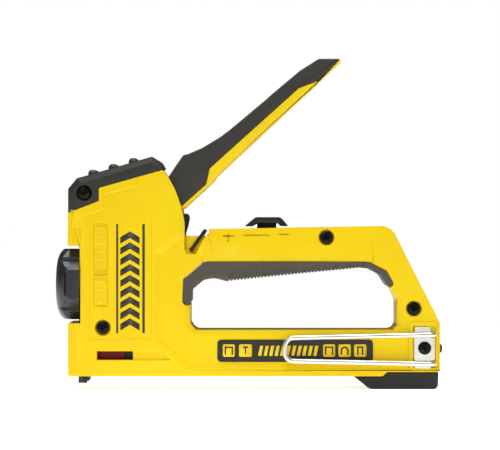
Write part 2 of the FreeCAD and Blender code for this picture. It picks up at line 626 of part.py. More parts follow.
# ---- selector dial: an octagon with a domed front, turning on a shoulder screw ----
selector_dial = new_body("selector_dial")
octagon = []
for across_y, across_z in (("dialHalf", "dialSide"), ("dialSide", "dialHalf"),
                           ("-dialSide", "dialHalf"), ("-dialHalf", "dialSide"),
                           ("-dialHalf", "-dialSide"),
                           ("-dialSide", "-dialHalf"),
                           ("dialSide", "-dialHalf"), ("dialHalf", "-dialSide")):
    octagon.append((across_y, across_z))
along_x(selector_dial, "Pad", octagon, "dialFront", "dialBack", ("0", "dialAxis"))
dome_sketch = new_sketch(selector_dial, "XZ_Plane", "0", ("0", "dialAxis"))
draw_polygon(dome_sketch, dome_cut)
doc.recompute()
solid_before = selector_dial.Shape.Volume
dome = selector_dial.newObject("PartDesign::Groove", "selector_dial_dome")
dome.Profile = dome_sketch
dome.ReferenceAxis = (dome_sketch, ["H_Axis"])
dome.Angle = 360.0
doc.recompute()
if selector_dial.Shape.Volume >= solid_before:
    raise ValueError("the dial's dome cut nothing")
along_x(selector_dial, "Pocket", ("driveAxis", "driveAxis", "shaftHole"), "dialFront-wall",
        "dialBack+wall", ("0", "dialAxis"))
along_x(selector_dial, "Pocket", ("driveAxis", "driveAxis", "sinkRadius"), "dialFront-wall",
        "sinkFloor", ("0", "dialAxis"))
cam_sketch = new_sketch(selector_dial, "YZ_Plane", bound("dialBack"), ("0", "dialAxis"))
draw_circle(cam_sketch, "driveAxis", "driveAxis", "grooveOuter")
draw_circle(cam_sketch, "driveAxis", "driveAxis", "grooveInner")
cam_track = selector_dial.newObject("PartDesign::Pocket", "selector_dial_track")
cam_track.Profile = cam_sketch
cam_track.setExpression("Length", bound("dialBack-grooveBack"))
solid_before = selector_dial.Shape.Volume
doc.recompute()
if selector_dial.Shape.Volume >= solid_before:
    raise ValueError("the dial's cam track cut nothing")

dial_screw = new_body("dial_screw")
along_x(dial_screw, "Pad", ("driveAxis", "dialAxis", "pinRadius"), "dialScrewSeat", "plateFront")
along_x(dial_screw, "Pad", ("driveAxis", "dialAxis", "dialScrewHead"), "dialScrewFront",
        "dialScrewSeat")
along_x(dial_screw, "Pad", ("driveAxis", "dialAxis", "studTip"), "plateFront", "guideBack")

# ---- driver: plunger block and blade, lifted together and thrown down by the spring ----
plunger = new_body("plunger")
across(plunger, "Pad", box_outline("plungerFront", "plungerLow", "plungerBack", "plungerTop"),
       "plungerHalf")
across(plunger, "Pocket", box_outline("tipSlotFront", "tipSlotLow", "plungerBack+wall",
                                      "tipSlotTop"), "tipSlotHalf")
driver_blade = new_body("driver_blade")
across(driver_blade, "Pad", box_outline("bladeFront", "bladeLow", "bladeBack", "plungerTop"),
       "bladeHalf")

# ---- power spring between the plunger and its seat under the cap ----


def ring_upright(label, x_place, outer, inner, low, high):
    body = new_body(label)
    upright(body, "Pad", (x_place, "driveAxis", outer), low, high)
    if inner:
        upright(body, "Pocket", (x_place, "driveAxis", inner), low, high)
    return body


ring_upright("power_spring", "springX", "springRadius", "springBore", "plungerTop", "seatLow")
ring_upright("spring_seat", "springX", "seatRadius", None, "seatLow", "seatTop")
recoil_bumper = new_body("recoil_bumper")
across(recoil_bumper, "Pad", box_outline("bumperFront", "bumperLow", "bumperBack", "bumperTop"),
       "bumperHalf")

# ---- trip lever: lifts the plunger with its tip ----
trip_lever = new_body("trip_lever")
across(trip_lever, "Pad", lever_outline, "leverHalf")
across(trip_lever, "Pocket", ("leverX", "leverZ", "leverBore"), "leverHalf+wall")
across(trip_lever, "Pocket", ("linkLowX", "linkLowZ", "linkPinRadius"), "leverHalf+wall")
round_pin("lever_link_pin", "linkLowX", "linkLowZ", "linkPinRadius", "linkPinHalf")

# ---- the pair of links between the handle's lugs and the trip lever ----
lift_links = doc.addObject("Part::MultiFuse", "lift_links")
lift_links.Label = "lift_links"
links = []
for label, side in (("left_link", -1), ("right_link", 1)):
    body = new_body(label)
    across(body, "Pad", link_outline, "linkOuter", "linkInner", side)
    across(body, "Pocket", ("linkTopX", "linkTopZ", "linkTopBore"), "linkOuter+wall", "0", side)
    across(body, "Pocket", ("linkLowX", "linkLowZ", "linkLowBore"), "linkOuter+wall", "0", side)
    links.append(body)
lift_links.Shapes = links
round_pin("handle_link_pin", "linkTopX", "linkTopZ", "linkTopPin", "lugOuter")

# ---- squeeze handle: channel with a hub at the pivot, and a soft cover over its top ----
handle_arm = new_body("handle_arm")
across(handle_arm, "Pad", arm_outline, "armHalf")
across(handle_arm, "Pad", core_outline, "coreHalf")
across(handle_arm, "Pocket", arm_hollow, "armInner")
across(handle_arm, "Pocket", ("pivotX", "pivotZ", "armBore"), "armHalf+wall")
across(handle_arm, "Pocket", ("linkTopX", "linkTopZ", "linkTopPin"), "armHalf+wall")

handle_cover = new_body("handle_cover")
across(handle_cover, "Pad", cover_outline, "coverHalf")
across(handle_cover, "Pocket", cover_hollow, "coreHalf+fitGap")

# ---- two steel tabs inside the handle that the lock bail catches ----
lock_tabs = doc.addObject("Part::MultiFuse", "lock_tabs")
lock_tabs.Label = "lock_tabs"
tabs = []
for label, side in (("left_tab", -1), ("right_tab", 1)):
    body = new_body(label)
    across(body, "Pad", tab_outline, "armInner", "tabInner", side)
    tabs.append(body)
lock_tabs.Shapes = tabs

# ---- return spring round the handle pin ----
return_spring = new_body("return_spring")
across(return_spring, "Pad", ("pivotX", "pivotZ", "returnOuter"), "returnHalf")
across(return_spring, "Pocket", ("pivotX", "pivotZ", "returnInner"), "returnHalf+wall")

# ---- rubber stop that the closed handle lands on ----

# ---- power slider on the top bar with its stem and rod ----
power_slider = new_body("power_slider")
across(power_slider, "Pad", slider_outline, "sliderHalf")
across(power_slider, "Pad", box_outline("stemFront", "stemLow", "stemRear", "stemTop"),
       "stemHalf")
slider_rod = new_body("slider_rod")
along_x(slider_rod, "Pad", ("driveAxis", "rodZ", "rodRadius"), "rodFront", "stemFront")

# ---- staple track and the magazine that slides in it ----
staple_track = new_body("staple_track")
section = [("-trackHalf", "trackLow"), ("trackHalf", "trackLow"),
           ("trackHalf", "trackTop"), ("-trackHalf", "trackTop")]
along_x(staple_track, "Pad", section, "trackFront", "trackRear")
bore = [("-trackHalf+trackWall", "channelFloor"),
        ("trackHalf-trackWall", "channelFloor"), ("trackHalf-trackWall", "trackTop-trackWall"),
        ("-trackHalf+trackWall", "trackTop-trackWall")]
along_x(staple_track, "Pocket", bore, "trackFront-wall", "trackRear+wall")
across(staple_track, "Pocket", window_box, "trackHalf+wall")
lip = [("-trackHalf+trackWall", "lipLow"), ("trackHalf-trackWall", "lipLow"),
       ("trackHalf-trackWall", "railLow-runGap"), ("-trackHalf+trackWall",
                                                   "railLow-runGap")]
along_x(staple_track, "Pad", lip, "trackFront", "lipBack")

pusher_rail = new_body("pusher_rail")
section = [("-railHalf", "railLow"), ("railHalf", "railLow"), ("railHalf", "railTop"),
           ("-railHalf", "railTop")]
along_x(pusher_rail, "Pad", section, "railFront", "railRear")
bore = [("-railHalf+railWall", "channelFloor"), ("railHalf-railWall", "channelFloor"),
        ("railHalf-railWall", "railTop-railWall"),
        ("-railHalf+railWall", "railTop-railWall")]
along_x(pusher_rail, "Pocket", bore, "railFront-wall", "footTongue")
slot = box_outline("railFront-wall", "-railSlotHalf", "railSlotRear", "railSlotHalf")
upright(pusher_rail, "Pocket", slot, "railTop-railWall-touchGap", "railTop+wall")

# ---- magazine foot with the tongue that carries the rail ----
magazine_foot = new_body("magazine_foot")
across(magazine_foot, "Pad", foot_outline, "footHalf")
across(magazine_foot, "Pocket", box_outline("footFront", "trackLow-runGap", "footTongue",
                                            "channelTop"), "trackHalf+runGap")
across(magazine_foot, "Pad", box_outline("footTongue", "railLow-runGap", "tongueRear",
                                         "tongueTop"), "tongueHalf")
across(magazine_foot, "Pad", box_outline("footTongue", "railLow-runGap", "seatRear",
                                         "seatHeight"), "tongueHalf")
across(magazine_foot, "Pocket", box_outline("footTongue-wall", "railLow", "railRear",
                                            "railTop"), "railHalf")

# ---- follower that pushes the staples, and its spring inside the rail ----
follower = new_body("follower")
across(follower, "Pad", follower_outline, "followerHalf")
across(follower, "Pocket", box_outline("frontFace", "channelFloor", "driveAxis",
                                       "followerCrown"), "followerInner")
across(follower, "Pad", box_outline("tongueFront", "catchLow", "tongueBack",
                                    "followerCrown+touchGap"), "catchHalf")
across(follower, "Pad", box_outline("tongueFront", "catchLow", "tongueBack", "catchTop"),
       "catchWide")


def tube_along(label, z_place, outer, inner, low, high):
    body = new_body(label)
    along_x(body, "Pad", ("driveAxis", z_place, outer), low, high)
    along_x(body, "Pocket", ("driveAxis", z_place, inner), low, high)
    return body


tube_along("follower_spring", "followerSpringZ", "followerSpringR", "followerSpringBore",
           "tongueBack", "footTongue")

# ---- release button at the rear, with its spring ----
release_button = new_body("release_button")
across(release_button, "Pad", box_outline("buttonFront", "buttonLow", "buttonRear",
                                          "buttonTop"), "buttonHalf")
chamfer(release_button, "buttonBevel", lambda place, edge: (
    abs(place.x - amount("buttonRear")) < 0.01))
tube_along("latch_spring", "buttonZ", "latchRadius", "latchBore", "seatRear", "buttonFront")

# ---- handle stop ----
handle_stop = new_body("handle_stop")
across(handle_stop, "Pad", stop_outline, "stopHalf")

# ---- belt hook: sheet plate, screw and bent wire ----
hook_plate = new_body("hook_plate")
across(hook_plate, "Pad", hook_plate_outline, "plateFloor+plateThick", "plateFloor", -1)
across(hook_plate, "Pocket", ("hookScrewX", "hookScrewZ", "screwShaft"), "headHalf+wall",
       "plateFloor-wall", -1)
hook_screw = new_body("hook_screw")
across(hook_screw, "Pad", ("hookScrewX", "hookScrewZ", "hookScrewHead"), "hookScrewTop",
       "plateFloor+plateThick", -1)
across(hook_screw, "Pad", ("hookScrewX", "hookScrewZ", "screwShaft"), "plateFloor+plateThick",
       "channelHalf+wall", -1)


def wire(label, radius, corners, bends):
    # a round wire along straight runs joined by tangent arcs, one bend radius per inner corner
    points = [FreeCAD.Vector(*corner) for corner in corners]
    edges = []
    start = points[0]
    for number, bend in enumerate(bends, start=1):
        corner = points[number]
        back = (points[number - 1] - corner).normalize()
        ahead = (points[number + 1] - corner).normalize()
        half_angle = back.getAngle(ahead) / 2
        reach = bend / math.tan(half_angle)
        enter = corner + back * reach
        leave = corner + ahead * reach
        middle_way = (back + ahead).normalize()
        depth = bend / math.sin(half_angle) - bend
        edges.append(Part.LineSegment(start, enter).toShape())
        edges.append(Part.Arc(enter, corner + middle_way * depth, leave).toShape())
        start = leave
    edges.append(Part.LineSegment(start, points[-1]).toShape())
    path = Part.Wire(edges)
    section = Part.Wire([Part.Circle(points[0], points[1] - points[0], radius).toShape()])
    piece = doc.addObject("Part::Feature", label)
    piece.Label = label
    piece.Shape = path.makePipeShell([section], True, False)
    piece.Placement = FreeCAD.Placement()
    return piece


seat_y = -amount("hookSeat")
out_y = -amount("hookOut")
deep_y = -amount("hookDeep")
high_z = amount("hookHigh")
low_z = amount("hookLow")
lean = amount("hookLean")
anchor_x = amount("hookAnchor")
loop_x = amount("hookLoop")
wire("belt_hook", amount("wireRadius"), [
    (anchor_x, deep_y, high_z), (anchor_x, seat_y, high_z), (loop_x, out_y, high_z - lean),
    (loop_x, out_y, low_z + lean), (anchor_x, seat_y, low_z), (anchor_x, deep_y, low_z),
], [amount("hookBend"), amount("hookLoopBend"), amount("hookLoopBend"), amount("hookBend")])

# ---- lock bail: a wire loop that folds over the closed handle ----
leg_y = amount("bailLeg")
eye_y = amount("bailEnd") + amount("touchGap")
eye = (amount("bailX"), amount("bailZ"))
tip = (amount("bailTipX"), amount("bailTipZ"))
wire("lock_bail", amount("bailWire"), [
    (eye[0], -eye_y, eye[1]), (eye[0], -leg_y, eye[1]), (tip[0], -leg_y, tip[1]),
    (tip[0], leg_y, tip[1]), (eye[0], leg_y, eye[1]), (eye[0], eye_y, eye[1]),
], [amount("bailBend") / 2] + [amount("bailBend")] * 2 + [amount("bailBend") / 2])

# ---- check and write ----
doc.recompute()
pieces = [thing for thing in doc.Objects
          if thing.TypeId in ("PartDesign::Body", "Part::Feature", "Part::MultiFuse")]
grouped = {name for thing in pieces if thing.TypeId == "Part::MultiFuse"
           for name in [member.Name for member in thing.Shapes]}
for thing in doc.Objects:
    for fault in ("Invalid", "Error"):
        if fault in thing.State:
            raise ValueError(f"{thing.Label} is in state {thing.State}")
os.makedirs("parts", exist_ok=True)
for thing in pieces:
    if thing.Name in grouped:
        continue
    if thing.Shape.isNull() or not thing.Shape.isValid():
        raise ValueError(f"{thing.Label} has no valid shape")
    thing.Shape.exportStep(f"parts/{thing.Label}.step")
    print(thing.Label, len(thing.Shape.Solids), round(thing.Shape.Volume, 1))
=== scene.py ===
import math
import bmesh
import bpy
import numpy as np
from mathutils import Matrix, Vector


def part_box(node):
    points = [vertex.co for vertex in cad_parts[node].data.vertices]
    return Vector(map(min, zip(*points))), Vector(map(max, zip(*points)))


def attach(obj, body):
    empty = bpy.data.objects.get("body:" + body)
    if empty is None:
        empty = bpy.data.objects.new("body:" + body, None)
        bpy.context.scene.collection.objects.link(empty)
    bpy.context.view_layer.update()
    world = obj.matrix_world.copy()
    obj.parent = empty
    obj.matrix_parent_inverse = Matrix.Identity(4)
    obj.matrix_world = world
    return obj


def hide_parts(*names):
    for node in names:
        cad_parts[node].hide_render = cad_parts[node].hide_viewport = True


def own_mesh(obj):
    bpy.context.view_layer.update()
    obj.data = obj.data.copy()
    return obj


# A squeeze-handle stapler. X runs from the nose (-) to the rear (+), Y across the tool, Z up.
# Outlines are x, z in millimetres; the meshes are in metres, in the frame's own places.

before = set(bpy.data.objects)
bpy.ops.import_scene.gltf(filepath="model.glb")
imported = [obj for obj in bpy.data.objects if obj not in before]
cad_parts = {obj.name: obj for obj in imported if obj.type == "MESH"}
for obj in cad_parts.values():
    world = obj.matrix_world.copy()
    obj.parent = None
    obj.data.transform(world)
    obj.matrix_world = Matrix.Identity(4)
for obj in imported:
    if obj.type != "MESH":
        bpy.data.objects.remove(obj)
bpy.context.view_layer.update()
mm = 0.001
print("frame loaded:", len(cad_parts), "nodes")


# shapes as arrays

def cornerArcs(corner, back, ahead, radius, steps):
    # each corner becomes an arc that touches both of its edges: trim = r / tan(half angle),
    # centre = corner + bisector * r / sin(half angle), points by turning from edge to edge
    backLength = np.linalg.norm(back, axis=1, keepdims=True)
    aheadLength = np.linalg.norm(ahead, axis=1, keepdims=True)
    back = back / backLength
    ahead = ahead / aheadLength
    half = np.arccos(np.clip((back * ahead).sum(1, keepdims=True), -1.0, 1.0)) / 2
    wanted = np.broadcast_to(np.asarray(radius, float).reshape(-1, 1), half.shape)
    trim = np.minimum(wanted / np.tan(half), 0.45 * np.minimum(backLength, aheadLength))
    bisector = back + ahead
    bisector = bisector / np.linalg.norm(bisector, axis=1, keepdims=True)
    centre = corner + bisector * trim / np.cos(half)
    turn = (math.pi - 2 * half)[:, None, :]
    share = np.linspace(0, 1, steps)[None, :, None]
    first = (corner + back * trim - centre)[:, None, :]
    last = (corner + ahead * trim - centre)[:, None, :]
    swept = (np.sin((1 - share) * turn) * first + np.sin(share * turn) * last) / np.sin(turn)
    return (centre[:, None, :] + swept).reshape(-1, corner.shape[1])


def rounded(corners, radius, steps=6):
    corner = np.asarray(corners, float)
    return cornerArcs(corner, np.roll(corner, 1, 0) - corner, np.roll(corner, -1, 0) - corner,
                      radius, steps)


def widened(corners, distance):
    # each edge moves outward by its distance, and each corner goes where its two edges now meet
    corner = np.asarray(corners, float)
    following = np.roll(corner, -1, 0)
    edge = following - corner
    normal = np.column_stack([edge[:, 1], -edge[:, 0]])
    normal /= np.linalg.norm(normal, axis=1, keepdims=True)
    normal *= np.sign((corner[:, 0] * following[:, 1] - following[:, 0] * corner[:, 1]).sum())
    shift = np.broadcast_to(np.asarray(distance, float), (len(corner),))
    level = (normal * corner).sum(1) + shift
    before = np.roll(normal, 1, 0)
    beforeLevel = np.roll(level, 1)
    cross = before[:, 0] * normal[:, 1] - before[:, 1] * normal[:, 0]
    x = (beforeLevel * normal[:, 1] - level * before[:, 1]) / cross
    z = (before[:, 0] * level - normal[:, 0] * beforeLevel) / cross
    return np.column_stack([x, z])


def loft(rings):
    # rings[k, j] is point j of ring k: quads between neighbouring rings, and a face over each end
    rings = np.asarray(rings, float)
    count, size = rings.shape[:2]
    rows = np.arange(count * size).reshape(count, size)
    low, high = rows[:-1], rows[1:]
    quads = np.stack([low, np.roll(low, -1, 1), np.roll(high, -1, 1), high], -1)
    faces = quads.reshape(-1, 4).tolist() + [rows[0][::-1].tolist(), rows[-1].tolist()]
    return rings.reshape(-1, 3), faces


def flatAt(outline, y):
    # an outline in x, z placed at one y
    outline = np.asarray(outline, float)
    return np.column_stack([outline[:, 0], np.full(len(outline), y), outline[:, 1]])


def across(outline, low, high, side=1, highOutline=None):
    # an outline carried across the tool from y = low to y = high on one side, straight,
    # or changing into highOutline for a sloping wall
    end = outline if highOutline is None else highOutline
    return loft([flatAt(outline, low * side), flatAt(end, high * side)])


def box(lowX, lowZ, highX, highZ):
    return np.array([(lowX, lowZ), (highX, lowZ), (highX, highZ), (lowX, highZ)], float)


def circle(x, z, radius, count=40):
    turn = np.linspace(0, 2 * math.pi, count, endpoint=False)
    return np.column_stack([x + radius * np.cos(turn), z + radius * np.sin(turn)])


def lathe(profile, count=40):
    # a profile of (radius, height) turned about the height axis: x = r cos, y = r sin, z = h
    profile = np.asarray(profile, float)
    turn = np.linspace(0, 2 * math.pi, count, endpoint=False)
    radius = profile[:, :1]
    return loft(np.stack([radius * np.cos(turn), radius * np.sin(turn),
                          np.broadcast_to(profile[:, 1:], (len(profile), count))], -1))


def alongPath(path, radius, count):
    # a round section carried along a path, its frame turned as little as possible on the way
    path = np.asarray(path, float)
    tangent = np.gradient(path, axis=0)
    tangent /= np.linalg.norm(tangent, axis=1, keepdims=True)
    aside = np.cross(tangent[0], (0.3, 0.5, 0.81))
    sides = []
    for direction in tangent:
        aside = aside - direction * aside.dot(direction)
        aside = aside / np.linalg.norm(aside)
        sides.append(aside)
    sides = np.array(sides)
    upward = np.cross(tangent, sides)
    turn = np.linspace(0, 2 * math.pi, count, endpoint=False)[None, :, None]
    circle = np.cos(turn) * sides[:, None] + np.sin(turn) * upward[:, None]
    return loft(path[:, None] + radius * circle)


def joined(*shapes):
    # several shapes in one mesh
    points = np.vstack([shape[0] for shape in shapes])
    starts = np.cumsum([0] + [len(shape[0]) for shape in shapes])
    faces = [[index + start for index in face]
             for (_, group), start in zip(shapes, starts) for face in group]
    return points, faces


def turned(shape, axis, spot, spin=0.0):
    # a shape whose height is z, laid with its height along axis and its origin at spot
    points, faces = shape
    angle = math.radians(spin)
    x = points[:, 0] * math.cos(angle) - points[:, 1] * math.sin(angle)
    y = points[:, 0] * math.sin(angle) + points[:, 1] * math.cos(angle)
    z = points[:, 2]
    if axis == "-y":
        moved = np.column_stack([x, -z, y])
    else:
        moved = np.column_stack([-z, x, y])
    return moved + np.asarray(spot, float), faces


# meshes and modifiers

def newObject(name, data):
    thing = bpy.data.objects.new(name, data)
    bpy.context.scene.collection.objects.link(thing)
    return thing


def newPiece(name, shape):
    # shape is (points in millimetres, faces); normals are turned outward
    mesh = bpy.data.meshes.new(name)
    mesh.from_pydata((np.asarray(shape[0]) * mm).tolist(), [], shape[1])
    tidyMesh(mesh, 0)
    return newObject(name, mesh)


def tidyMesh(mesh, flatAngle):
    # doubles merged, flat areas joined into single faces, normals outward
    work = bmesh.new()
    work.from_mesh(mesh)
    bmesh.ops.remove_doubles(work, verts=work.verts, dist=0.002 * mm)
    if flatAngle:
        bmesh.ops.dissolve_limit(work, angle_limit=math.radians(flatAngle), verts=work.verts,
                                 edges=work.edges)
    bmesh.ops.recalc_face_normals(work, faces=work.faces)
    work.to_mesh(mesh)
    work.free()
    mesh.polygons.foreach_set("use_smooth", np.ones(len(mesh.polygons), bool))


def settle(piece):
    # the modifiers' result becomes the piece's own mesh
    bpy.context.view_layer.update()
    graph = bpy.context.evaluated_depsgraph_get()
    result = bpy.data.meshes.new_from_object(piece.evaluated_get(graph))
    piece.modifiers.clear()
    piece.data = result


def carve(piece, shapes, operation="DIFFERENCE"):
    tools = [newPiece("tool", shape) for shape in shapes]
    for tool in tools:
        cut = piece.modifiers.new("cut", "BOOLEAN")
        cut.operation = operation
        cut.solver = "EXACT"
        cut.object = tool
    settle(piece)
    for tool in tools:
        bpy.data.objects.remove(tool)


def softEdges(piece, width, segments=2, angle=30):
    # rounded edges, with the shading weighted by face area so that flat faces stay flat
    bevel = piece.modifiers.new("softEdges", "BEVEL")
    bevel.width = width * mm
    bevel.segments = segments
    bevel.limit_method = "ANGLE"
    bevel.angle_limit = math.radians(angle)
    bevel.use_clamp_overlap = False
    bevel.miter_outer = "MITER_ARC"
    weighted = piece.modifiers.new("flatShading", "WEIGHTED_NORMAL")
    weighted.keep_sharp = True
    return piece


def place(piece, body, slot, material, *nodes):
    piece.data.materials.clear()
    piece.data.materials.append(material)
    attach(piece, body)
    if nodes:
        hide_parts(*nodes)
    return piece


# shader groups: effects that several finishes use

def setInputs(node, values):
    for label, value in values.items():
        node.inputs[label].default_value = value


def newGroup(name, inputs, outputs):
    # inputs: each value's name and usual size; outputs: names
    group = bpy.data.node_groups.new(name, "ShaderNodeTree")
    kind = "NodeSocketFloat"
    for label, value in inputs.items():
        socket = group.interface.new_socket(name=label, in_out="INPUT", socket_type=kind)
        socket.default_value = value
    for label in outputs:
        group.interface.new_socket(name=label, in_out="OUTPUT", socket_type=kind)
    return group, group.nodes.new("NodeGroupInput"), group.nodes.new("NodeGroupOutput")


def noiseNode(group, scale, detail, stretch=(1.0, 1.0, 1.0)):
    # noise over the piece's own coordinates
    spot = group.nodes.new("ShaderNodeTexCoord")
    mapping = group.nodes.new("ShaderNodeMapping")
    noise = group.nodes.new("ShaderNodeTexNoise")
    setInputs(mapping, {"Scale": stretch})
    setInputs(noise, {"Detail": detail})
    group.links.new(spot.outputs["Object"], mapping.inputs["Vector"])
    group.links.new(mapping.outputs["Vector"], noise.inputs["Vector"])
    group.links.new(scale, noise.inputs["Scale"])
    return noise.outputs["Fac"]


def product(group, first, second):
    node = group.nodes.new("ShaderNodeMath")
    node.operation = "MULTIPLY"
    for socket, value in zip(node.inputs, (first, second)):
        group.links.new(value, socket)
    return node.outputs[0]


def makeGrain():
    # Height: fine noise for a moulded texture; Mottle: a slow drift of 0 to 1
    group, given, result = newGroup("mouldGrain", {"Fineness": 1800.0, "Coarseness": 60.0},
                                    ["Height", "Mottle"])
    for label, detail, output in (("Fineness", 3.0, "Height"), ("Coarseness", 2.0, "Mottle")):
        group.links.new(noiseNode(group, given.outputs[label], detail), result.inputs[output])
    return group


def makeWear():
    # Mask: 1 along worn convex edges, broken up by noise; it grows with Amount
    group, given, result = newGroup("edgeWear", {"Amount": 0.5, "Patchiness": 220.0}, ["Mask"])
    surface = group.nodes.new("ShaderNodeNewGeometry")
    edge = group.nodes.new("ShaderNodeMapRange")
    setInputs(edge, {"From Min": 0.53, "From Max": 0.66})  # 0.5 is flat, 1 a sharp convex edge
    group.links.new(surface.outputs["Pointiness"], edge.inputs["Value"])
    patches = noiseNode(group, given.outputs["Patchiness"], 2.0)
    mask = product(group, product(group, edge.outputs[0], patches), given.outputs["Amount"])
    group.links.new(mask, result.inputs["Mask"])
    return group


def makeBrushing():
    # Streak: noise drawn out along x, for wire, sheet and turned steel
    group, given, result = newGroup("brushing", {"Fineness": 900.0}, ["Streak"])
    streak = noiseNode(group, given.outputs["Fineness"], 4.0, (0.06, 1.0, 1.0))
    group.links.new(streak, result.inputs["Streak"])
    return group


grainGroup = makeGrain()
wearGroup = makeWear()
brushGroup = makeBrushing()


def addGroup(tree, group, **values):
    node = tree.nodes.new("ShaderNodeGroup")
    node.node_tree = group
    setInputs(node, values)
    return node


def blendColour(tree, share, first, second):
    mix = tree.nodes.new("ShaderNodeMix")
    mix.data_type = "RGBA"
    for socket, value in ((mix.inputs["Factor"], share), (mix.inputs["A"], first),
                          (mix.inputs["B"], second)):
        if isinstance(value, tuple):
            socket.default_value = (*value, 1.0)
        else:
            tree.links.new(value, socket)
    return mix.outputs["Result"]


def spread(tree, value, low, high):
    # 0.3..0.7 of a noise stretched over low..high
    node = tree.nodes.new("ShaderNodeMapRange")
    setInputs(node, {"From Min": 0.3, "From Max": 0.7, "To Min": low, "To Max": high})
    tree.links.new(value, node.inputs["Value"])
    return node.outputs[0]


def newMaterial(name, look):
    # moulded plastic, rubber or painted metal: two near shades, grain in the normal, worn edges
    material = bpy.data.materials.new(name)
    material.use_nodes = True
    tree = material.node_tree
    shader = tree.nodes["Principled BSDF"]
    grain = addGroup(tree, grainGroup, Fineness=look["fineness"], Coarseness=look["coarseness"])
    wear = addGroup(tree, wearGroup, Amount=look["wear"])
    drift = spread(tree, grain.outputs["Mottle"], 0.0, 1.0)
    body = blendColour(tree, drift, look["colour"], look["shade"])
    worn = blendColour(tree, wear.outputs["Mask"], body, look["wornColour"])
    tree.links.new(worn, shader.inputs["Base Color"])
    rough = look["roughness"]
    if look.get("brushed"):
        streak = addGroup(tree, brushGroup, Fineness=look["brushed"])
        uneven = spread(tree, streak.outputs["Streak"], rough * 0.75, rough * 1.3)
    else:
        uneven = spread(tree, grain.outputs["Mottle"], rough * 0.92, rough * 1.1)
    tree.links.new(uneven, shader.inputs["Roughness"])
    bump = tree.nodes.new("ShaderNodeBump")
    setInputs(bump, {"Strength": look["depth"], "Distance": 0.05 * mm})
    tree.links.new(grain.outputs["Height"], bump.inputs["Height"])
    tree.links.new(bump.outputs["Normal"], shader.inputs["Normal"])
    setInputs(shader, {"Metallic": look.get("metallic", 0.0),
                       "Specular IOR Level": look.get("specular", 0.35),
                       "Sheen Weight": look.get("sheen", 0.0)})
    return material


looks = {
    "housingYellow": dict(
        colour=(0.90, 0.655, 0.008), shade=(0.86, 0.60, 0.006), roughness=0.36,
        wornColour=(0.95, 0.76, 0.12), wear=0.35, fineness=1500.0, coarseness=25.0, depth=0.10,
        specular=0.15),
    "capBlack": dict(
        colour=(0.029, 0.027, 0.022), shade=(0.022, 0.021, 0.017), roughness=0.50,
        wornColour=(0.11, 0.105, 0.10), wear=0.6, fineness=2200.0, coarseness=40.0, depth=0.5),
    "softBlack": dict(
        colour=(0.036, 0.034, 0.029), shade=(0.028, 0.026, 0.022), roughness=0.58,
        wornColour=(0.10, 0.095, 0.085), wear=0.6, fineness=2600.0, coarseness=50.0, depth=0.6,
        sheen=0.15),
    # a lighter copy of softBlack: painted light for the light that the ribbed, rounded grip
    # catches
    "gripBlackPaintedLight": dict(
        colour=(0.084, 0.076, 0.058), shade=(0.072, 0.065, 0.050), roughness=0.62,
        wornColour=(0.12, 0.115, 0.10), wear=0.6, fineness=2600.0, coarseness=50.0, depth=0.6,
        sheen=0.15),
    "screwBlack": dict(
        colour=(0.012, 0.011, 0.010), shade=(0.006, 0.006, 0.006), roughness=0.32,
        wornColour=(0.10, 0.09, 0.08), wear=0.8, fineness=3000.0, coarseness=300.0, depth=0.3,
        metallic=0.7),
    "plainSteel": dict(
        colour=(0.50, 0.50, 0.49), shade=(0.42, 0.42, 0.42), roughness=0.34,
        wornColour=(0.75, 0.75, 0.74), wear=0.5, fineness=2500.0, coarseness=120.0, depth=0.25,
        metallic=1.0, brushed=900.0),
    # a darker copy of plainSteel: painted shade for the rail and track that lie deep inside the
    # window
    "steelPaintedShade": dict(
        colour=(0.05, 0.048, 0.045), shade=(0.03, 0.03, 0.028), roughness=0.45,
        wornColour=(0.3, 0.3, 0.3), wear=0.5, fineness=2500.0, coarseness=120.0, depth=0.3,
        metallic=0.8, brushed=800.0),
    "springSteel": dict(
        colour=(0.36, 0.36, 0.37), shade=(0.26, 0.26, 0.28), roughness=0.30,
        wornColour=(0.6, 0.6, 0.6), wear=0.4, fineness=2500.0, coarseness=200.0, depth=0.2,
        metallic=1.0, brushed=1200.0),
    "hookSteel": dict(
        colour=(0.84, 0.84, 0.78), shade=(0.74, 0.74, 0.69), roughness=0.32,
        wornColour=(0.85, 0.85, 0.82), wear=0.4, fineness=2200.0, coarseness=90.0, depth=0.3,
        metallic=0.9, brushed=700.0),
    "noseBlack": dict(
        colour=(0.022, 0.022, 0.024), shade=(0.012, 0.012, 0.014), roughness=0.38,
        wornColour=(0.25, 0.25, 0.25), wear=0.9, fineness=2500.0, coarseness=150.0, depth=0.4,
        metallic=0.8),
    "wireBlack": dict(
        colour=(0.030, 0.028, 0.028), shade=(0.018, 0.017, 0.017), roughness=0.36,
        wornColour=(0.2, 0.2, 0.2), wear=0.6, fineness=2500.0, coarseness=200.0, depth=0.3,
        metallic=0.6),
    "dialGrey": dict(
        colour=(0.013, 0.015, 0.021), shade=(0.010, 0.012, 0.017), roughness=0.36,
        wornColour=(0.13, 0.135, 0.15), wear=0.8, fineness=2400.0, coarseness=60.0, depth=0.35,
        specular=0.6),
    "badgeBlack": dict(
        colour=(0.024, 0.021, 0.012), shade=(0.020, 0.017, 0.010), roughness=0.50,
        wornColour=(0.09, 0.085, 0.08), wear=0.4, fineness=1800.0, coarseness=60.0, depth=0.15),
    "followerRed": dict(
        colour=(0.44, 0.010, 0.016), shade=(0.34, 0.008, 0.012), roughness=0.40,
        wornColour=(0.45, 0.05, 0.05), wear=0.5, fineness=2000.0, coarseness=90.0, depth=0.3),
    "footBlack": dict(
        colour=(0.013, 0.014, 0.016), shade=(0.010, 0.011, 0.013), roughness=0.48,
        wornColour=(0.09, 0.09, 0.10), wear=0.6, fineness=2400.0, coarseness=50.0, depth=0.5),
}
finishes = {name: newMaterial(name, look) for name, look in looks.items()}
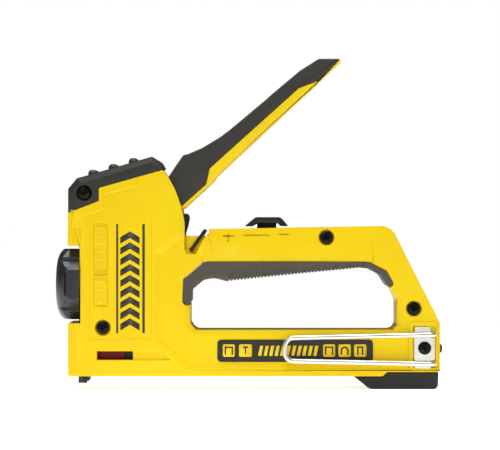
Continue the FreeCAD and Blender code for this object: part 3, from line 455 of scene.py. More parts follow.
slotFinish = {
    "housing_yellow": "housingYellow", "cap_black": "capBlack", "soft_black": "softBlack",
    "screw_black": "screwBlack", "steel": "plainSteel", "spring_steel": "springSteel",
    "nose_black": "noseBlack", "hook_steel": "hookSteel", "wire_black": "wireBlack",
    "dial_grey": "dialGrey", "badge_black": "badgeBlack", "follower_red": "followerRed",
    "foot_black": "footBlack",
}


def put(piece, body, slot, *nodes, finish=None):
    return place(piece, body, slot, finishes[finish or slotFinish[slot]], *nodes)


print("finishes made:", len(finishes))


# the two moulded halves of the case

shell = {
    "headHalf": 17.0, "barHalf": 15.5, "wall": 2.5, "edge": 0.38,
    "over": 3.0, "farOver": 24.0,  # how far cutters run past the faces
    "outline": [
        (-93.5, 6.9), (68.5, 6.9), (70.8, 9.1), (98.1, 9.1), (98.1, 34.2), (94.5, 41.5),
        (77.5, 74.9), (75.6, 79.0), (73.2, 82.3), (69.8, 84.2), (-33.2, 82.4), (-33.4, 86.5),
        (-34.8, 93.5), (-38.0, 102.5), (-41.7, 109.4), (-44.8, 113.0), (-77.5, 103.8),
        (-77.5, 97.1), (-93.5, 90.9), (-93.5, 74.0), (-87.3, 74.0), (-87.3, 34.2), (-93.5, 34.2),
    ],
    "cornerRadii": [
        1.0, 1.5, 1.5, 1.5, 3.0, 6.0, 6.0, 3.0, 3.0, 3.0, 0.8, 3.0, 8.0, 8.0, 4.0, 0.8,
        0.6, 0.6, 0.8, 0.8, 0.6, 0.6, 0.8,
    ],
    "step": [
        (-32.6, 84.0), (-34.8, 78.0), (-46.1, 69.3), (-46.1, 26.5), (-34.2, 16.2), (-30.0, 13.1),
        (101.0, 13.1), (101.0, 90.0), (-32.6, 90.0),
    ],
    "slope": 2.0,  # run of a sloping facet for each millimetre of its depth
    "opening": [
        (-30.4, 33.6), (-27.4, 30.6), (73.6, 30.6), (76.0, 33.0), (76.0, 46.0), (72.4, 52.8),
        (74.2, 54.3), (70.8, 61.0), (61.5, 65.7), (-22.4, 65.9), (-23.9, 65.4), (-34.0, 56.9),
        (-34.5, 45.1), (-33.6, 43.9), (-30.4, 43.8),
    ],
    "openingRadii": [3.2, 3.2, 2.6, 2.6, 4.0, 0.6, 0.8, 2.5, 3.0, 1.0, 1.0, 1.5, 1.0, 0.5, 0.4],
    "openingLower": [
        (-30.4, 43.8), (-30.4, 33.6), (-27.4, 30.6), (73.6, 30.6), (76.0, 33.0), (76.0, 46.0),
        (73.0, 51.6),
    ],
    "openingBevel": 1.35,
    "headHollow": [
        (-87.3, 20.0), (-82.5, 20.0), (-82.5, 26.5), (-47.5, 26.5), (-47.5, 68.0),
        (-33.3, 68.0), (-33.3, 130.0), (-91.0, 130.0), (-91.0, 76.7), (-87.3, 76.7),
    ],
    "neckHollow": [(-47.6, 26.5), (-37.3, 26.5), (-37.3, 67.9), (-47.6, 67.9)],
    "barHollow": [
        (-18.0, 69.0), (63.0, 68.6), (72.8, 63.5), (77.5, 54.0), (78.6, 47.0), (78.6, 37.3),
        (93.2, 37.3), (91.6, 41.0), (74.8, 74.0), (71.8, 79.5), (69.0, 81.5), (-18.0, 79.8),
    ],
    "barHollowDepth": 11.4,
    "channel": box(-89.0, -1.0, 101.0, 24.0), "channelHalf": 8.1,
    "panel": [
        (-74.9, 100.2), (-74.9, 93.0), (-82.1, 89.9), (-82.1, 25.5), (-50.7, 25.5), (-50.7, 89.4),
        (-59.5, 104.3),
    ],
    "panelDepth": 0.7, "panelSlope": 0.5,
    "bailRecess": [
        (-33.3, 84.0), (-20.9, 84.0), (-20.9, 81.0), (-24.0, 77.0), (-27.6, 69.8), (-32.2, 69.8),
        (-33.3, 72.0),
    ],
    "bailFloor": 12.3, "bailBore": (-29.9, 71.8, 1.0), "bailBoreReach": (8.0, 14.0),
    "trough": box(-33.3, 79.0, -20.9, 127.5),
    "rodSlot": box(-36.0, 72.6, -17.9, 77.4), "rodSlotHalf": 2.2,
    "sliderSlot": box(-8.6, 77.0, 20.6, 90.0), "sliderSlotHalf": 3.3,
    "frontCorner": (-93.5, -90.4, 1.4), "frontHeights": [(73.0, 92.0), (5.0, 36.0)],
    "frontNotch": box(-90.4, 72.0, -86.9, 83.7), "notchDepth": 0.9,
    "window": box(-78.5, 15.2, -60.0, 19.8),
    "windowTail": [(-60.4, 15.2), (-40.7, 15.2), (-44.5, 19.8), (-60.4, 19.8)],
    "tailDepth": 1.1,
    "pedestal": [
        (82.1, 11.8), (83.6, 10.3), (95.3, 10.3), (96.8, 11.8), (96.8, 32.6), (95.2, 34.2),
        (84.0, 34.2), (82.1, 32.4),
    ],
    "pedestalLean": 0.3,
    "pocket": box(84.4, 11.2, 95.9, 32.5), "pocketCorner": 1.0,
    "plate": [
        (85.0, 10.3), (93.2, 10.3), (93.2, 15.2), (95.3, 15.2), (95.3, 26.5), (93.2, 26.5),
        (93.2, 32.2), (85.0, 32.2), (85.0, 26.5), (84.7, 26.5), (84.7, 15.2), (85.0, 15.2),
    ],
    "plateFloor": 15.7, "plateThick": 1.2,
    "screws": [(-75.4, 31.9, 17.0), (39.7, 78.3, 15.5), (84.7, 41.7, 15.5)],
    "screwRecess": 4.1, "recessDepth": 2.2,
    "tiltLine": ((-18.8, 70.8), (72.4, 79.6)), "tilt": 0.17, "underTilt": 0.06,
    "tiltEnd": 82.0, "tiltLean": -7.0, "underFoot": 64.0,
    "underShares": (0.03, 0.97, 13), "underStart": -8.0, "underMore": 2.0,
    "marks": [box(-2.8, 79.2, 10.0, 79.8), box(15.2, 79.5, 20.3, 80.1),
              box(-13.4, 78.75, -8.2, 79.35), box(-11.1, 76.4, -10.5, 81.6)],
    "markDepth": 0.3,
    "iconColumns": [box(-80.1, 61.0, -72.9, 85.2), box(-80.1, 43.0, -72.9, 57.9),
                    box(-80.1, 59.0, -72.9, 60.1)],
    "iconDepth": 0.35,
}


def tiltHeight(x):
    # z of the line along the top bar: z = low z + climb * (x - low x)
    (lowX, lowZ), (highX, highZ) = shell["tiltLine"]
    return lowZ + (highZ - lowZ) / (highX - lowX) * (x - lowX)


def tiltedWedge(side):
    # the facet along the top bar leans inward above its line: y falls by tilt for each z above it
    face = shell["barHalf"]
    far = rise = shell["farOver"]
    top = face - rise * shell["tilt"]
    rings = []
    for x, lean in ((shell["tiltLine"][0][0], shell["tiltLean"]), (shell["tiltEnd"], 0.0)):
        z = tiltHeight(x)
        rings.append([(x, face * side, z), (x + lean, top * side, z + rise),
                      (x + lean, far * side, z + rise), (x, far * side, z)])
    return loft(rings)


def underFacet(side):
    # below the line the bar leans inward too, most in the middle: lean = tilt * sin(pi * share)
    lowX, highX = shell["tiltLine"][0][0], shell["tiltLine"][1][0]
    foot = shell["underFoot"]
    share = np.linspace(*shell["underShares"])
    x = lowX + shell["underStart"] + share * (highX - lowX + shell["underMore"])
    line = tiltHeight(x)
    depth = shell["underTilt"] * np.sin(math.pi * share) ** 0.7 * (line - foot)
    face = np.full(len(x), shell["barHalf"])
    far = np.full(len(x), shell["farOver"])
    floor = np.full(len(x), foot)
    return loft(np.stack([np.column_stack([x, face * side, line]),
                          np.column_stack([x, (face - depth) * side, floor]),
                          np.column_stack([x, far * side, floor]),
                          np.column_stack([x, far * side, line])], 1))


def frontStrip(lowZ, highZ, side):
    # a triangle between two x places at the head's front corner, carried upward
    lowX, highX, depth = shell["frontCorner"]
    half = shell["headHalf"]
    over = 1.0
    ring = [(lowX - over, (half - depth - over * depth / (highX - lowX)) * side),
            (highX + over, (half + over * depth / (highX - lowX)) * side),
            (lowX - over, (half + shell["over"]) * side)]
    return loft([[(x, y, z) for x, y in ring] for z in (lowZ, highZ)])


def halfShell(name, side):
    head, bar, slope, out = shell["headHalf"], shell["barHalf"], shell["slope"], shell["over"]
    deep, bevel = head - shell["wall"], shell["openingBevel"]
    panelFloor = head - shell["panelDepth"]

    def cut(outline, low, high=head + out, outer=None):
        return across(outline, low, high, side, outer)

    piece = newPiece(name, cut(rounded(shell["outline"], shell["cornerRadii"], 5), 0, head))
    lower = np.asarray(shell["openingLower"])
    reach = np.array([1.0] * (len(lower) - 1) + [0.0]) * slope * (bevel + out)
    carve(piece, [
        cut(shell["step"], bar, bar + out, widened(shell["step"], slope * out)),
        tiltedWedge(side),
        underFacet(side),
        *[frontStrip(lowZ, highZ, side) for lowZ, highZ in shell["frontHeights"]],
        cut(shell["frontNotch"], head - shell["notchDepth"]),
        cut(rounded(shell["opening"], shell["openingRadii"], 5), -1.0),
        cut(lower, bar - bevel, bar + out, widened(lower, reach)),
    ])
    cuts = [
        cut(shell["headHollow"], -1.0, deep),
        cut(shell["neckHollow"], -1.0, bar - shell["wall"]),
        cut(shell["barHollow"], -1.0, shell["barHollowDepth"]),
        cut(shell["channel"], -1.0, shell["channelHalf"]),
        cut(shell["window"], 5.0),
        cut(shell["windowTail"], head - shell["tailDepth"]),
        cut(shell["panel"], panelFloor, head + out,
            widened(shell["panel"], shell["panelSlope"] * (shell["panelDepth"] + out))),
        cut(rounded(shell["bailRecess"], 0.8, 3), shell["bailFloor"]),
        cut(shell["trough"], -1.0, deep),
        cut(shell["rodSlot"], -1.0, shell["rodSlotHalf"]),
        cut(shell["sliderSlot"], -1.0, shell["sliderSlotHalf"]),
        cut(circle(*shell["bailBore"], 16), *shell["bailBoreReach"]),
    ]
    cuts += [cut(column, panelFloor - shell["iconDepth"]) for column in shell["iconColumns"]]
    for mark in shell["marks"]:
        x, z = mark.mean(0)
        cuts.append(cut(mark, bar - shell["tilt"] * (z - tiltHeight(x)) - shell["markDepth"]))
    carve(piece, cuts)
    if side < 0:
        foot = widened(shell["pedestal"], shell["pedestalLean"])
        top = shell["plateFloor"] + shell["plateThick"]
        carve(piece, [cut(foot, bar - 1.0, top, shell["pedestal"])], "UNION")
        carve(piece, [cut(rounded(shell["pocket"], shell["pocketCorner"]), shell["plateFloor"])]
              + [cut(circle(x, z, shell["screwRecess"]), face - shell["recessDepth"])
                 for x, z, face in shell["screws"]])
    tidyMesh(piece.data, 0.3)
    return softEdges(piece, shell["edge"], 2, 18)


put(halfShell("leftShell", -1), "housing", "housing_yellow", "left_shell")
put(halfShell("rightShell", 1), "housing", "housing_yellow", "right_shell")
print("case halves carved")


# head cap with its three ribs

cap = {
    "outline": [
        (-93.5, 91.0), (-77.6, 97.2), (-77.6, 103.9), (-44.8, 113.1), (-43.8, 114.1),
        (-45.6, 117.2), (-50.2, 120.0), (-84.7, 110.0), (-88.9, 108.9), (-93.5, 103.3),
    ],
    # how far each corner moves in at the outer faces, for the wide slopes round the top
    "inset": [(2.9, 1.1), (0, 0), (0, 0), (-0.7, -0.2), (-0.9, 0.0), (-1.8, -2.2), (-0.9, -3.1),
              (0.7, -3.2), (1.9, -2.7), (2.9, -1.2)],
    "half": 17.0, "slope": 3.3, "edge": 0.3, "wall": 2.5,
    "hollow": [(-91.0, 80.0), (-46.4, 80.0), (-46.4, 113.8), (-49.9, 117.3), (-84.2, 107.3),
               (-87.9, 106.3), (-91.0, 102.4)],
    "ribs": [(-80.9, 111.0), (-70.4, 114.0), (-60.0, 117.1)],
    "ribOutline": [(-2.6, -1.0), (2.6, -1.0), (2.2, 1.3), (1.2, 2.2), (-1.2, 2.2), (-2.2, 1.3)],
    "ribHalf": 12.5, "ribTaper": 1.6,
    "screw": (-85.0, 101.2),
}


def headCap():
    full = np.asarray(cap["outline"])
    small = full + np.asarray(cap["inset"])
    half = cap["half"]
    inner = half - cap["slope"]
    piece = newPiece("headCap", loft([flatAt(small, -half), flatAt(full, -inner),
                                      flatAt(full, inner), flatAt(small, half)]))
    carve(piece, [across(cap["hollow"], -half + cap["wall"], half - cap["wall"]),
                  across(circle(*cap["screw"], shell["screwRecess"]), half - shell["recessDepth"],
                         half + shell["over"], -1)])
    ribs = []
    reach = cap["ribHalf"]
    inner = reach - cap["ribTaper"]
    for x, z in cap["ribs"]:
        whole = rounded(cap["ribOutline"], 0.8, 4) + (x, z)
        least = rounded(np.asarray(cap["ribOutline"]) * (0.8, 0.55), 0.5, 4) + (x, z - 0.4)
        ribs.append(loft([flatAt(least, -reach), flatAt(whole, -inner), flatAt(whole, inner),
                          flatAt(least, reach)]))
    tidyMesh(piece.data, 0.3)
    # the ribs stand a little way into the wall, as closed shapes of their own
    ribPiece = newPiece("capRibs", joined(*ribs))
    work = bmesh.new()
    work.from_mesh(piece.data)
    work.from_mesh(ribPiece.data)
    work.to_mesh(piece.data)
    work.free()
    bpy.data.objects.remove(ribPiece)
    return softEdges(piece, cap["edge"], 2, 20)


put(headCap(), "housing", "cap_black", "head_cap")


# ribbed soft grip over the finger opening

grip = {
    # pairs of places along the grip: on the finger side, and on the side that joins the case
    "finger": [(-30.9, 44.0), (-29.7, 45.2), (-29.6, 51.2), (-23.4, 56.4), (-18.8, 57.2),
               (-16.2, 56.9), (-11.6, 55.6), (56.9, 62.6), (61.0, 62.3), (67.2, 59.0),
               (71.3, 52.9), (71.9, 52.9)],
    "case": [(-33.4, 44.3), (-34.3, 45.6), (-33.9, 56.8), (-24.2, 65.0), (-21.0, 65.75),
             (-17.5, 65.75), (-12.0, 65.75), (58.5, 65.55), (61.9, 65.3), (70.5, 60.9),
             (74.0, 54.4), (73.6, 54.0)],
    "half": 15.8, "stations": 760, "blur": 9, "ribPitch": 1.75, "ribDepth": 0.85,
    "ribFrom": -11.0, "ribTo": 58.0, "ribReach": 0.78, "round": 3.4, "roundShare": 0.62,
    "squareness": 2.6, "roundSteps": 22, "flankSteps": 6,
}


def fingerGrip():
    # point(u, v) = finger(u) + a(v) * (case(u) - finger(u)), y(v) by a rounded section;
    # ribs push the lower part in by depth * (1 - cos) / 2
    finger = np.asarray(grip["finger"])
    case = np.asarray(grip["case"])
    length = np.r_[0, np.cumsum(np.linalg.norm(np.diff(finger, axis=0), axis=1))]
    where = np.linspace(0, length[-1], grip["stations"])
    window = np.hanning(grip["blur"] * 2 + 3)[1:-1]
    window /= window.sum()

    def smooth(values):
        padded = np.pad(np.interp(where, length, values), grip["blur"], mode="edge")
        return np.convolve(padded, window, "valid")

    inner = np.column_stack([smooth(finger[:, 0]), smooth(finger[:, 1])])
    outer = np.column_stack([np.interp(where, length, case[:, axis]) for axis in (0, 1)])
    depth = np.linalg.norm(outer - inner, axis=1)[:, None]
    inward = (outer - inner) / depth
    turn = np.linspace(0, math.pi, grip["roundSteps"])[None, :]
    roundness = np.minimum(grip["round"], grip["roundShare"] * depth)
    power = 2 / grip["squareness"]
    lowerA = roundness * (1 - np.abs(np.sin(turn)) ** power)
    core = grip["half"] - roundness
    lowerY = -np.sign(np.cos(turn)) * (core + roundness * np.abs(np.cos(turn)) ** power)
    rise = np.linspace(0, 1, grip["flankSteps"])[None, 1:]
    sideA = roundness + (depth - roundness) * rise
    a = np.hstack([sideA[:, ::-1], lowerA, sideA])
    flank = np.full(sideA.shape, grip["half"])
    y = np.hstack([-flank, lowerY, flank])
    span = (inner[:, 0] > grip["ribFrom"]) & (inner[:, 0] < grip["ribTo"])
    wave = (1 - np.cos(2 * math.pi * (inner[:, 0] - grip["ribFrom"]) / grip["ribPitch"])) / 2
    rib = (grip["ribDepth"] * wave ** 1.5 * span)[:, None]
    fade = np.clip(1 - a / (grip["ribReach"] * depth), 0, 1) ** 0.6
    a = a + rib * fade
    y = y * (1 - 0.75 * rib * fade / grip["half"])
    points = inner[:, None, :] + inward[:, None, :] * a[:, :, None]
    rings = np.stack([points[:, :, 0], y, points[:, :, 1]], -1)
    piece = newPiece("fingerGrip", loft(rings))
    return softEdges(piece, 0.3, 1, 50)


# the grip takes the lighter soft black, painted light standing in for the light its ribs and
# rounded face catch
put(fingerGrip(), "housing", "soft_black", "finger_grip", finish="gripBlackPaintedLight")
print("cap and grip made")


# selector dial: an octagon with a domed front and a V-groove in each slanting side

dial = {
    "apothem": 18.25, "groove": 1.5, "grooveDepth": 1.7, "axisZ": 54.1, "edge": 0.25,
    "back": -87.6,
    # radius and distance in front of the tool's middle
    "dome": [(0.02, 86.0), (19.2, 86.0), (19.6, 88.4), (19.75, 91.0), (19.5, 93.3), (19.0, 95.0),
             (18.2, 96.5), (17.1, 97.7), (15.6, 98.7), (13.6, 99.5), (11.2, 99.95), (8.0, 100.0),
             (0.02, 100.0)],
    "sink": [(0.02, 96.9), (5.2, 96.9), (5.2, 99.4), (5.9, 101.0), (0.02, 101.0)],
}


def selectorDial():
    # an octagon with four V-grooves, drawn out along x, and what it has in common with a dome
    # turned about the same axis
    apothem = dial["apothem"]
    corner = apothem * math.tan(math.pi / 8)
    middle = np.array([(apothem + corner) / 2] * 2)
    along = np.array([-1.0, 1.0]) / math.sqrt(2)
    groove = [middle - along * dial["groove"],
              middle * (1 - dial["grooveDepth"] / apothem), middle + along * dial["groove"]]
    quarter = np.array([(apothem, corner), *groove, (corner, apothem)])
    parts = []
    for number in range(4):
        angle = number * math.pi / 2
        spin = np.array([[math.cos(angle), math.sin(angle)], [-math.sin(angle), math.cos(angle)]])
        parts.append(quarter @ spin)
    ring = np.vstack(parts)
    rings = [np.column_stack([np.full(len(ring), x), ring[:, 0], ring[:, 1] + dial["axisZ"]])
             for x in (dial["back"], dial["back"] - 14.0)]
    piece = newPiece("selectorDial", loft(rings))
    centre = (0.0, 0.0, dial["axisZ"])
    carve(piece, [turned(lathe(dial["dome"], 96), "-x", centre)], "INTERSECT")
    carve(piece, [turned(lathe(dial["sink"], 48), "-x", centre)])
    return softEdges(piece, dial["edge"], 2, 24)


put(selectorDial(), "dial", "dial_grey", "selector_dial")


# screws with cross recesses

def crossScrew(radius, thick, shaftRadius, shaftLength, crossSize):
    # a pan head turned from its profile, height along z, with two tapering slots cut into it;
    # the head stands on z = 0 and the shaft goes below
    profile = [(0.02, -shaftLength), (shaftRadius * 0.7, -shaftLength),
               (shaftRadius, -shaftLength + 0.8), (shaftRadius, 0.0), (radius * 0.97, 0.0),
               (radius, thick * 0.25), (radius * 0.97, thick * 0.55), (radius * 0.85, thick * 0.8),
               (radius * 0.62, thick * 0.95), (radius * 0.3, thick), (0.02, thick)]
    piece = newPiece("screwBlank", lathe(profile, 36))
    slots = []
    wide = crossSize * 0.17
    top = box(-crossSize, -wide, crossSize, wide)
    low = top * (0.45, 0.75)
    for swapped in (False, True):
        rings = [np.column_stack([flat[:, ::-1] if swapped else flat, np.full(4, z)])
                 for flat, z in ((low, thick * 0.25), (top, thick), (top, thick + 1.0))]
        slots.append(loft(rings))
    carve(piece, slots)
    count = len(piece.data.vertices)
    points = np.empty(count * 3)
    piece.data.vertices.foreach_get("co", points)
    faces = [list(polygon.vertices) for polygon in piece.data.polygons]
    bpy.data.objects.remove(piece)
    return points.reshape(-1, 3) / mm, faces


screws = {
    # head radius, head height, shaft radius, shaft length, reach of the cross
    "case": (3.5, 1.8, 1.5, 12.0, 1.9), "hook": (3.4, 1.45, 1.45, 6.0, 2.0),
    "dial": (4.45, 1.95, 2.9, 9.0, 2.6),
    "hookSpot": (90.1, -16.92, 21.4), "dialSpot": (-97.2, 0.0, 54.1),
    "edge": 0.1, "dialEdge": 0.12,
    "caseTurn": 12, "caseTurnStep": 31, "hookTurn": 20, "dialTurn": 8,  # degrees
}
caseBlank = crossScrew(*screws["case"])
caseSpots = [(x, -(face - shell["recessDepth"]), z) for x, z, face in shell["screws"]]
caseSpots.append((cap["screw"][0], -(cap["half"] - shell["recessDepth"]), cap["screw"][1]))
caseScrews = newPiece("caseScrews", joined(*[
    turned(caseBlank, "-y", spot, screws["caseTurn"] + screws["caseTurnStep"] * number)
    for number, spot in enumerate(caseSpots)]))
put(softEdges(caseScrews, screws["edge"], 1, 35), "housing", "screw_black", "case_screws")

hookBlank = crossScrew(*screws["hook"])
hookScrew = newPiece("hookScrew", turned(hookBlank, "-y", screws["hookSpot"], screws["hookTurn"]))
put(softEdges(hookScrew, screws["edge"], 1, 35), "housing", "screw_black", "hook_screw")

dialBlank = crossScrew(*screws["dial"])
dialScrew = newPiece("dialScrew", turned(dialBlank, "-x", screws["dialSpot"], screws["dialTurn"]))
put(softEdges(dialScrew, screws["dialEdge"], 1, 35), "housing", "screw_black", "dial_screw")
print("dial and screws made")


# wires and springs

def wirePath(corners, bends, steps=10):
    # straight runs joined by arcs
    corner = np.asarray(corners, float)
    inner = corner[1:-1]
    arcs = cornerArcs(inner, corner[:-2] - inner, corner[2:] - inner, bends, steps)
    return np.vstack([corner[:1], arcs, corner[-1:]])


hook = {"wire": 1.3, "anchorX": 94.95, "loopX": 18.3, "high": 28.3, "low": 13.3, "lean": 1.6,
        "seat": 18.35, "out": 18.9, "deep": 11.0, "bend": 2.0, "loopBend": 4.5}
hookPath = wirePath([
    (hook["anchorX"], -hook["deep"], hook["high"]), (hook["anchorX"], -hook["seat"], hook["high"]),
    (hook["loopX"], -hook["out"], hook["high"] - hook["lean"]),
    (hook["loopX"], -hook["out"], hook["low"] + hook["lean"]),
    (hook["anchorX"], -hook["seat"], hook["low"]), (hook["anchorX"], -hook["deep"], hook["low"]),
], [hook["bend"], hook["loopBend"], hook["loopBend"], hook["bend"]])
beltHook = newPiece("beltHook", alongPath(hookPath, hook["wire"], 16))
put(beltHook, "housing", "hook_steel", "belt_hook")

plate = {"corner": 0.35, "clear": 0.02, "bore": 1.5, "edge": 0.15}
plateTop = shell["plateFloor"] + shell["plateThick"]
hookPlate = newPiece("hookPlate", across(rounded(shell["plate"], plate["corner"], 4),
                                         shell["plateFloor"] + plate["clear"], plateTop, -1))
boreX, boreZ = screws["hookSpot"][0], screws["hookSpot"][2]
carve(hookPlate, [across(circle(boreX, boreZ, plate["bore"], 24), 14.0, 19.0, -1)])
put(softEdges(hookPlate, plate["edge"], 2, 40), "housing", "hook_steel", "hook_plate")

bail = {"wire": 0.9, "x": -29.9, "z": 71.8, "tipX": -23.2, "tipZ": 81.6, "leg": 13.4, "end": 9.1,
        "bend": 2.2}
bailPath = wirePath([
    (bail["x"], -bail["end"], bail["z"]), (bail["x"], -bail["leg"], bail["z"]),
    (bail["tipX"], -bail["leg"], bail["tipZ"]), (bail["tipX"], bail["leg"], bail["tipZ"]),
    (bail["x"], bail["leg"], bail["z"]), (bail["x"], bail["end"], bail["z"]),
], [bail["bend"] / 2, bail["bend"], bail["bend"], bail["bend"] / 2])
put(newPiece("lockBail", alongPath(bailPath, bail["wire"], 14)), "bail", "wire_black", "lock_bail")


springs = {
    # axis 0 is x, 1 is y, 2 is z; a coil with a joint gets a mesh of its own, and its joint's
    # travel and fixed end are listed with it
    "powerSpring": dict(node="power_spring", axis=2, wire=1.0, turns=8.5, body="housing",
                        joint="driver_lift", travel=15.1, fixedEnd="high"),
    "followerSpring": dict(node="follower_spring", axis=0, wire=0.32, turns=46, body="magazine",
                           joint="follower_slide", travel=85.0, fixedEnd="high"),
    "returnSpring": dict(node="return_spring", axis=1, wire=0.8, turns=9.5, body="housing"),
    "latchSpring": dict(node="latch_spring", axis=0, wire=0.25, turns=6, body="magazine",
                        joint="release_press", travel=2.0, fixedEnd="low"),
}


coilDetail = {"perTurn": 22, "sides": 8, "closing": 0.06}


def coil(name, spring):
    # a helix inside the node's box: r = outer radius - wire, with closed turns at both ends
    axis, wire, turns = spring["axis"], spring["wire"], spring["turns"]
    low, high = (np.array(corner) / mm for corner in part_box(spring["node"]))
    centre = (low + high) / 2
    others = [index for index in range(3) if index != axis]
    outer = min(high[index] - low[index] for index in others) / 2
    radius = outer - wire
    count = int(turns * coilDetail["perTurn"])
    share = np.linspace(0, 1, count)
    eased = coilDetail["closing"] * np.sin(2 * math.pi * share)
    height = low[axis] + wire + (high[axis] - low[axis] - 2 * wire) * (share - eased)
    path = np.empty((count, 3))
    path[:, axis] = height
    path[:, others[0]] = centre[others[0]] + radius * np.cos(2 * math.pi * turns * share)
    path[:, others[1]] = centre[others[1]] + radius * np.sin(2 * math.pi * turns * share)
    piece = newPiece(name, alongPath(path, wire, coilDetail["sides"]))
    put(piece, spring["body"], "spring_steel", spring["node"])
    if "joint" in spring:
        direction, anchor = np.zeros(3), centre * mm
        direction[axis] = 1
        anchor[axis] = (high if spring["fixedEnd"] == "high" else low)[axis] * mm
        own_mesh(piece)


for name, spring in springs.items():
    coil(name, spring)
print("wires and springs made")


# pieces that keep the frame's shape and get rounded edges

def softened(node, width, body, slot, angle=30, segments=2, finish=None):
    # the node's own mesh, merged, with its edges rounded
    words = "".join(word.capitalize() for word in node.split("_"))
    piece = newObject("rounded" + words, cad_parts[node].data.copy())
    tidyMesh(piece.data, 1.0)
    softEdges(piece, width, segments, angle)
    put(piece, body, slot, node, finish=finish)


softened("handle_arm", 0.45, "handle", "housing_yellow")
softened("handle_cover", 0.9, "handle", "soft_black", 24, 3)
softened("power_slider", 0.6, "power_control", "foot_black", 24, 3)
softened("magazine_foot", 0.6, "magazine", "foot_black", 24, 3)
softened("release_button", 0.35, "release", "foot_black")
softened("cable_guide", 0.2, "guide", "nose_black")
softened("front_plate", 0.2, "housing", "nose_black")
softened("handle_stop", 0.4, "housing", "soft_black")
softened("trip_lever", 0.25, "lever", "steel")
softened("follower", 0.3, "pusher", "follower_red")
softened("plunger", 0.3, "driver", "steel")
# the rail takes the darker steel, painted shade as if it lay in the window's shadow
softened("pusher_rail", 0.12, "magazine", "steel", finish="steelPaintedShade")
print("rounded pieces made")


# badges and side graphics

badge = {
    "outline": [(-16.5, 14.2), (63.6, 14.2), (63.6, 25.7), (-16.5, 25.7)], "corner": 2.0,
    "face": 15.5, "thick": 0.4, "print": 0.04,
    "squares": [(-13.7, -7.5), (-5.4, 1.3), (37.9, 44.1), (45.8, 52.2), (53.8, 60.2)],
    "squareLow": 16.9, "squareHigh": 23.3, "edge": 0.12,
    # square number, width, height, wire and whether arched, for the staples; then the nail
    "staples": [(0, 4.3, 4.2, 0.75, False), (2, 4.3, 4.2, 0.75, False),
                (3, 4.1, 4.2, 0.8, True), (4, 3.2, 4.4, 0.8, False)],
    "nail": (1, 4.4, 0.7),
    "bars": 11, "barsFrom": 4.4, "barsTo": 35.6, "barLow": 17.4, "barHigh": 22.6,
    "barWide": 1.7, "barLean": 1.1,
}
panelPrint = {
    "face": 16.3, "thick": 0.05,
    "rules": [box(-68.5, 29.1, -67.5, 85.2), box(-55.1, 29.1, -53.8, 85.2)],
    "chevrons": 9, "low": 30.4, "high": 83.6, "left": -66.4, "right": -56.5, "bandHigh": 3.4,
    "rise": 3.0,
    # raised shapes beside the chevrons: their x, each staple's z and whether arched, the nail's z
    "iconX": -76.5, "staples": [(81.0, False), (73.1, False), (65.2, True), (53.6, False)],
    "nailZ": 47.0, "stapleSize": (5.2, 4.6, 1.1), "nailSize": (6.0, 1.1), "iconThick": 0.4,
}


def staple(x, z, wide, high, thick, arched=False):
    # a staple seen from the front: a crown and two legs, as one outline
    left, right = x - wide / 2, x + wide / 2
    foot, top = z - high / 2, z + high / 2
    if arched:
        turn = np.linspace(0, math.pi, 13)
        arc = np.column_stack([np.cos(turn), np.sin(turn)])
        centre = (x, top - wide / 2)
        ends = [(left, foot), (left + thick, foot)]
        other = [(right - thick, foot), (right, foot)]
        return np.vstack([centre + arc * wide / 2, ends,
                          (centre + arc * (wide / 2 - thick))[::-1], other])
    return np.array([(left, foot), (left + thick, foot), (left + thick, top - thick),
                     (right - thick, top - thick), (right - thick, foot), (right, foot),
                     (right, top), (left, top)])


def brad(x, z, high, thick):
    # a nail: a flat head, a shank and a point
    top, foot = z + high / 2, z - high / 2
    head, shank = thick * 1.8, thick / 2
    return np.array([(x - head, top), (x - head, top - thick * 0.9),
                     (x - shank, top - thick * 1.5), (x - shank, foot + thick), (x, foot),
                     (x + shank, foot + thick), (x + shank, top - thick * 1.5),
                     (x + head, top - thick * 0.9), (x + head, top)])


def layer(outlines, low, thick, side):
    return joined(*[across(flat, low, low + thick, side) for flat in outlines])


def makeBadge(name, side, node):
    plate = newPiece(name, across(rounded(badge["outline"], badge["corner"]), badge["face"],
                                  badge["face"] + badge["thick"], side))
    put(softEdges(plate, badge["edge"], 2, 40), "housing", "badge_black", node)
    face = badge["face"] + badge["thick"] - 0.02
    low, high = badge["squareLow"], badge["squareHigh"]
    middle = (low + high) / 2
    squares = [rounded(box(left, low, right, high), 0.8, 4) for left, right in badge["squares"]]
    starts = np.linspace(badge["barsFrom"], badge["barsTo"], badge["bars"], endpoint=False)
    wide, lean = badge["barWide"], badge["barLean"]
    bars = [np.array([(x, badge["barLow"]), (x + wide, badge["barLow"]),
                      (x + wide + lean, badge["barHigh"]), (x + lean, badge["barHigh"])])
            for x in starts]
    printed = newPiece(name + "Print", layer(squares + bars, face, badge["print"], side))
    put(printed, "housing", "housing_yellow")
    centres = [(left + right) / 2 for left, right in badge["squares"]]
    icons = [staple(centres[number], middle, *size) for number, *size in badge["staples"]]
    number, high, thick = badge["nail"]
    icons.insert(number, brad(centres[number], middle, high, thick))
    face += badge["print"] - 0.01
    marks = newPiece(name + "Icons", layer(icons, face, badge["print"], side))
    put(marks, "housing", "badge_black")


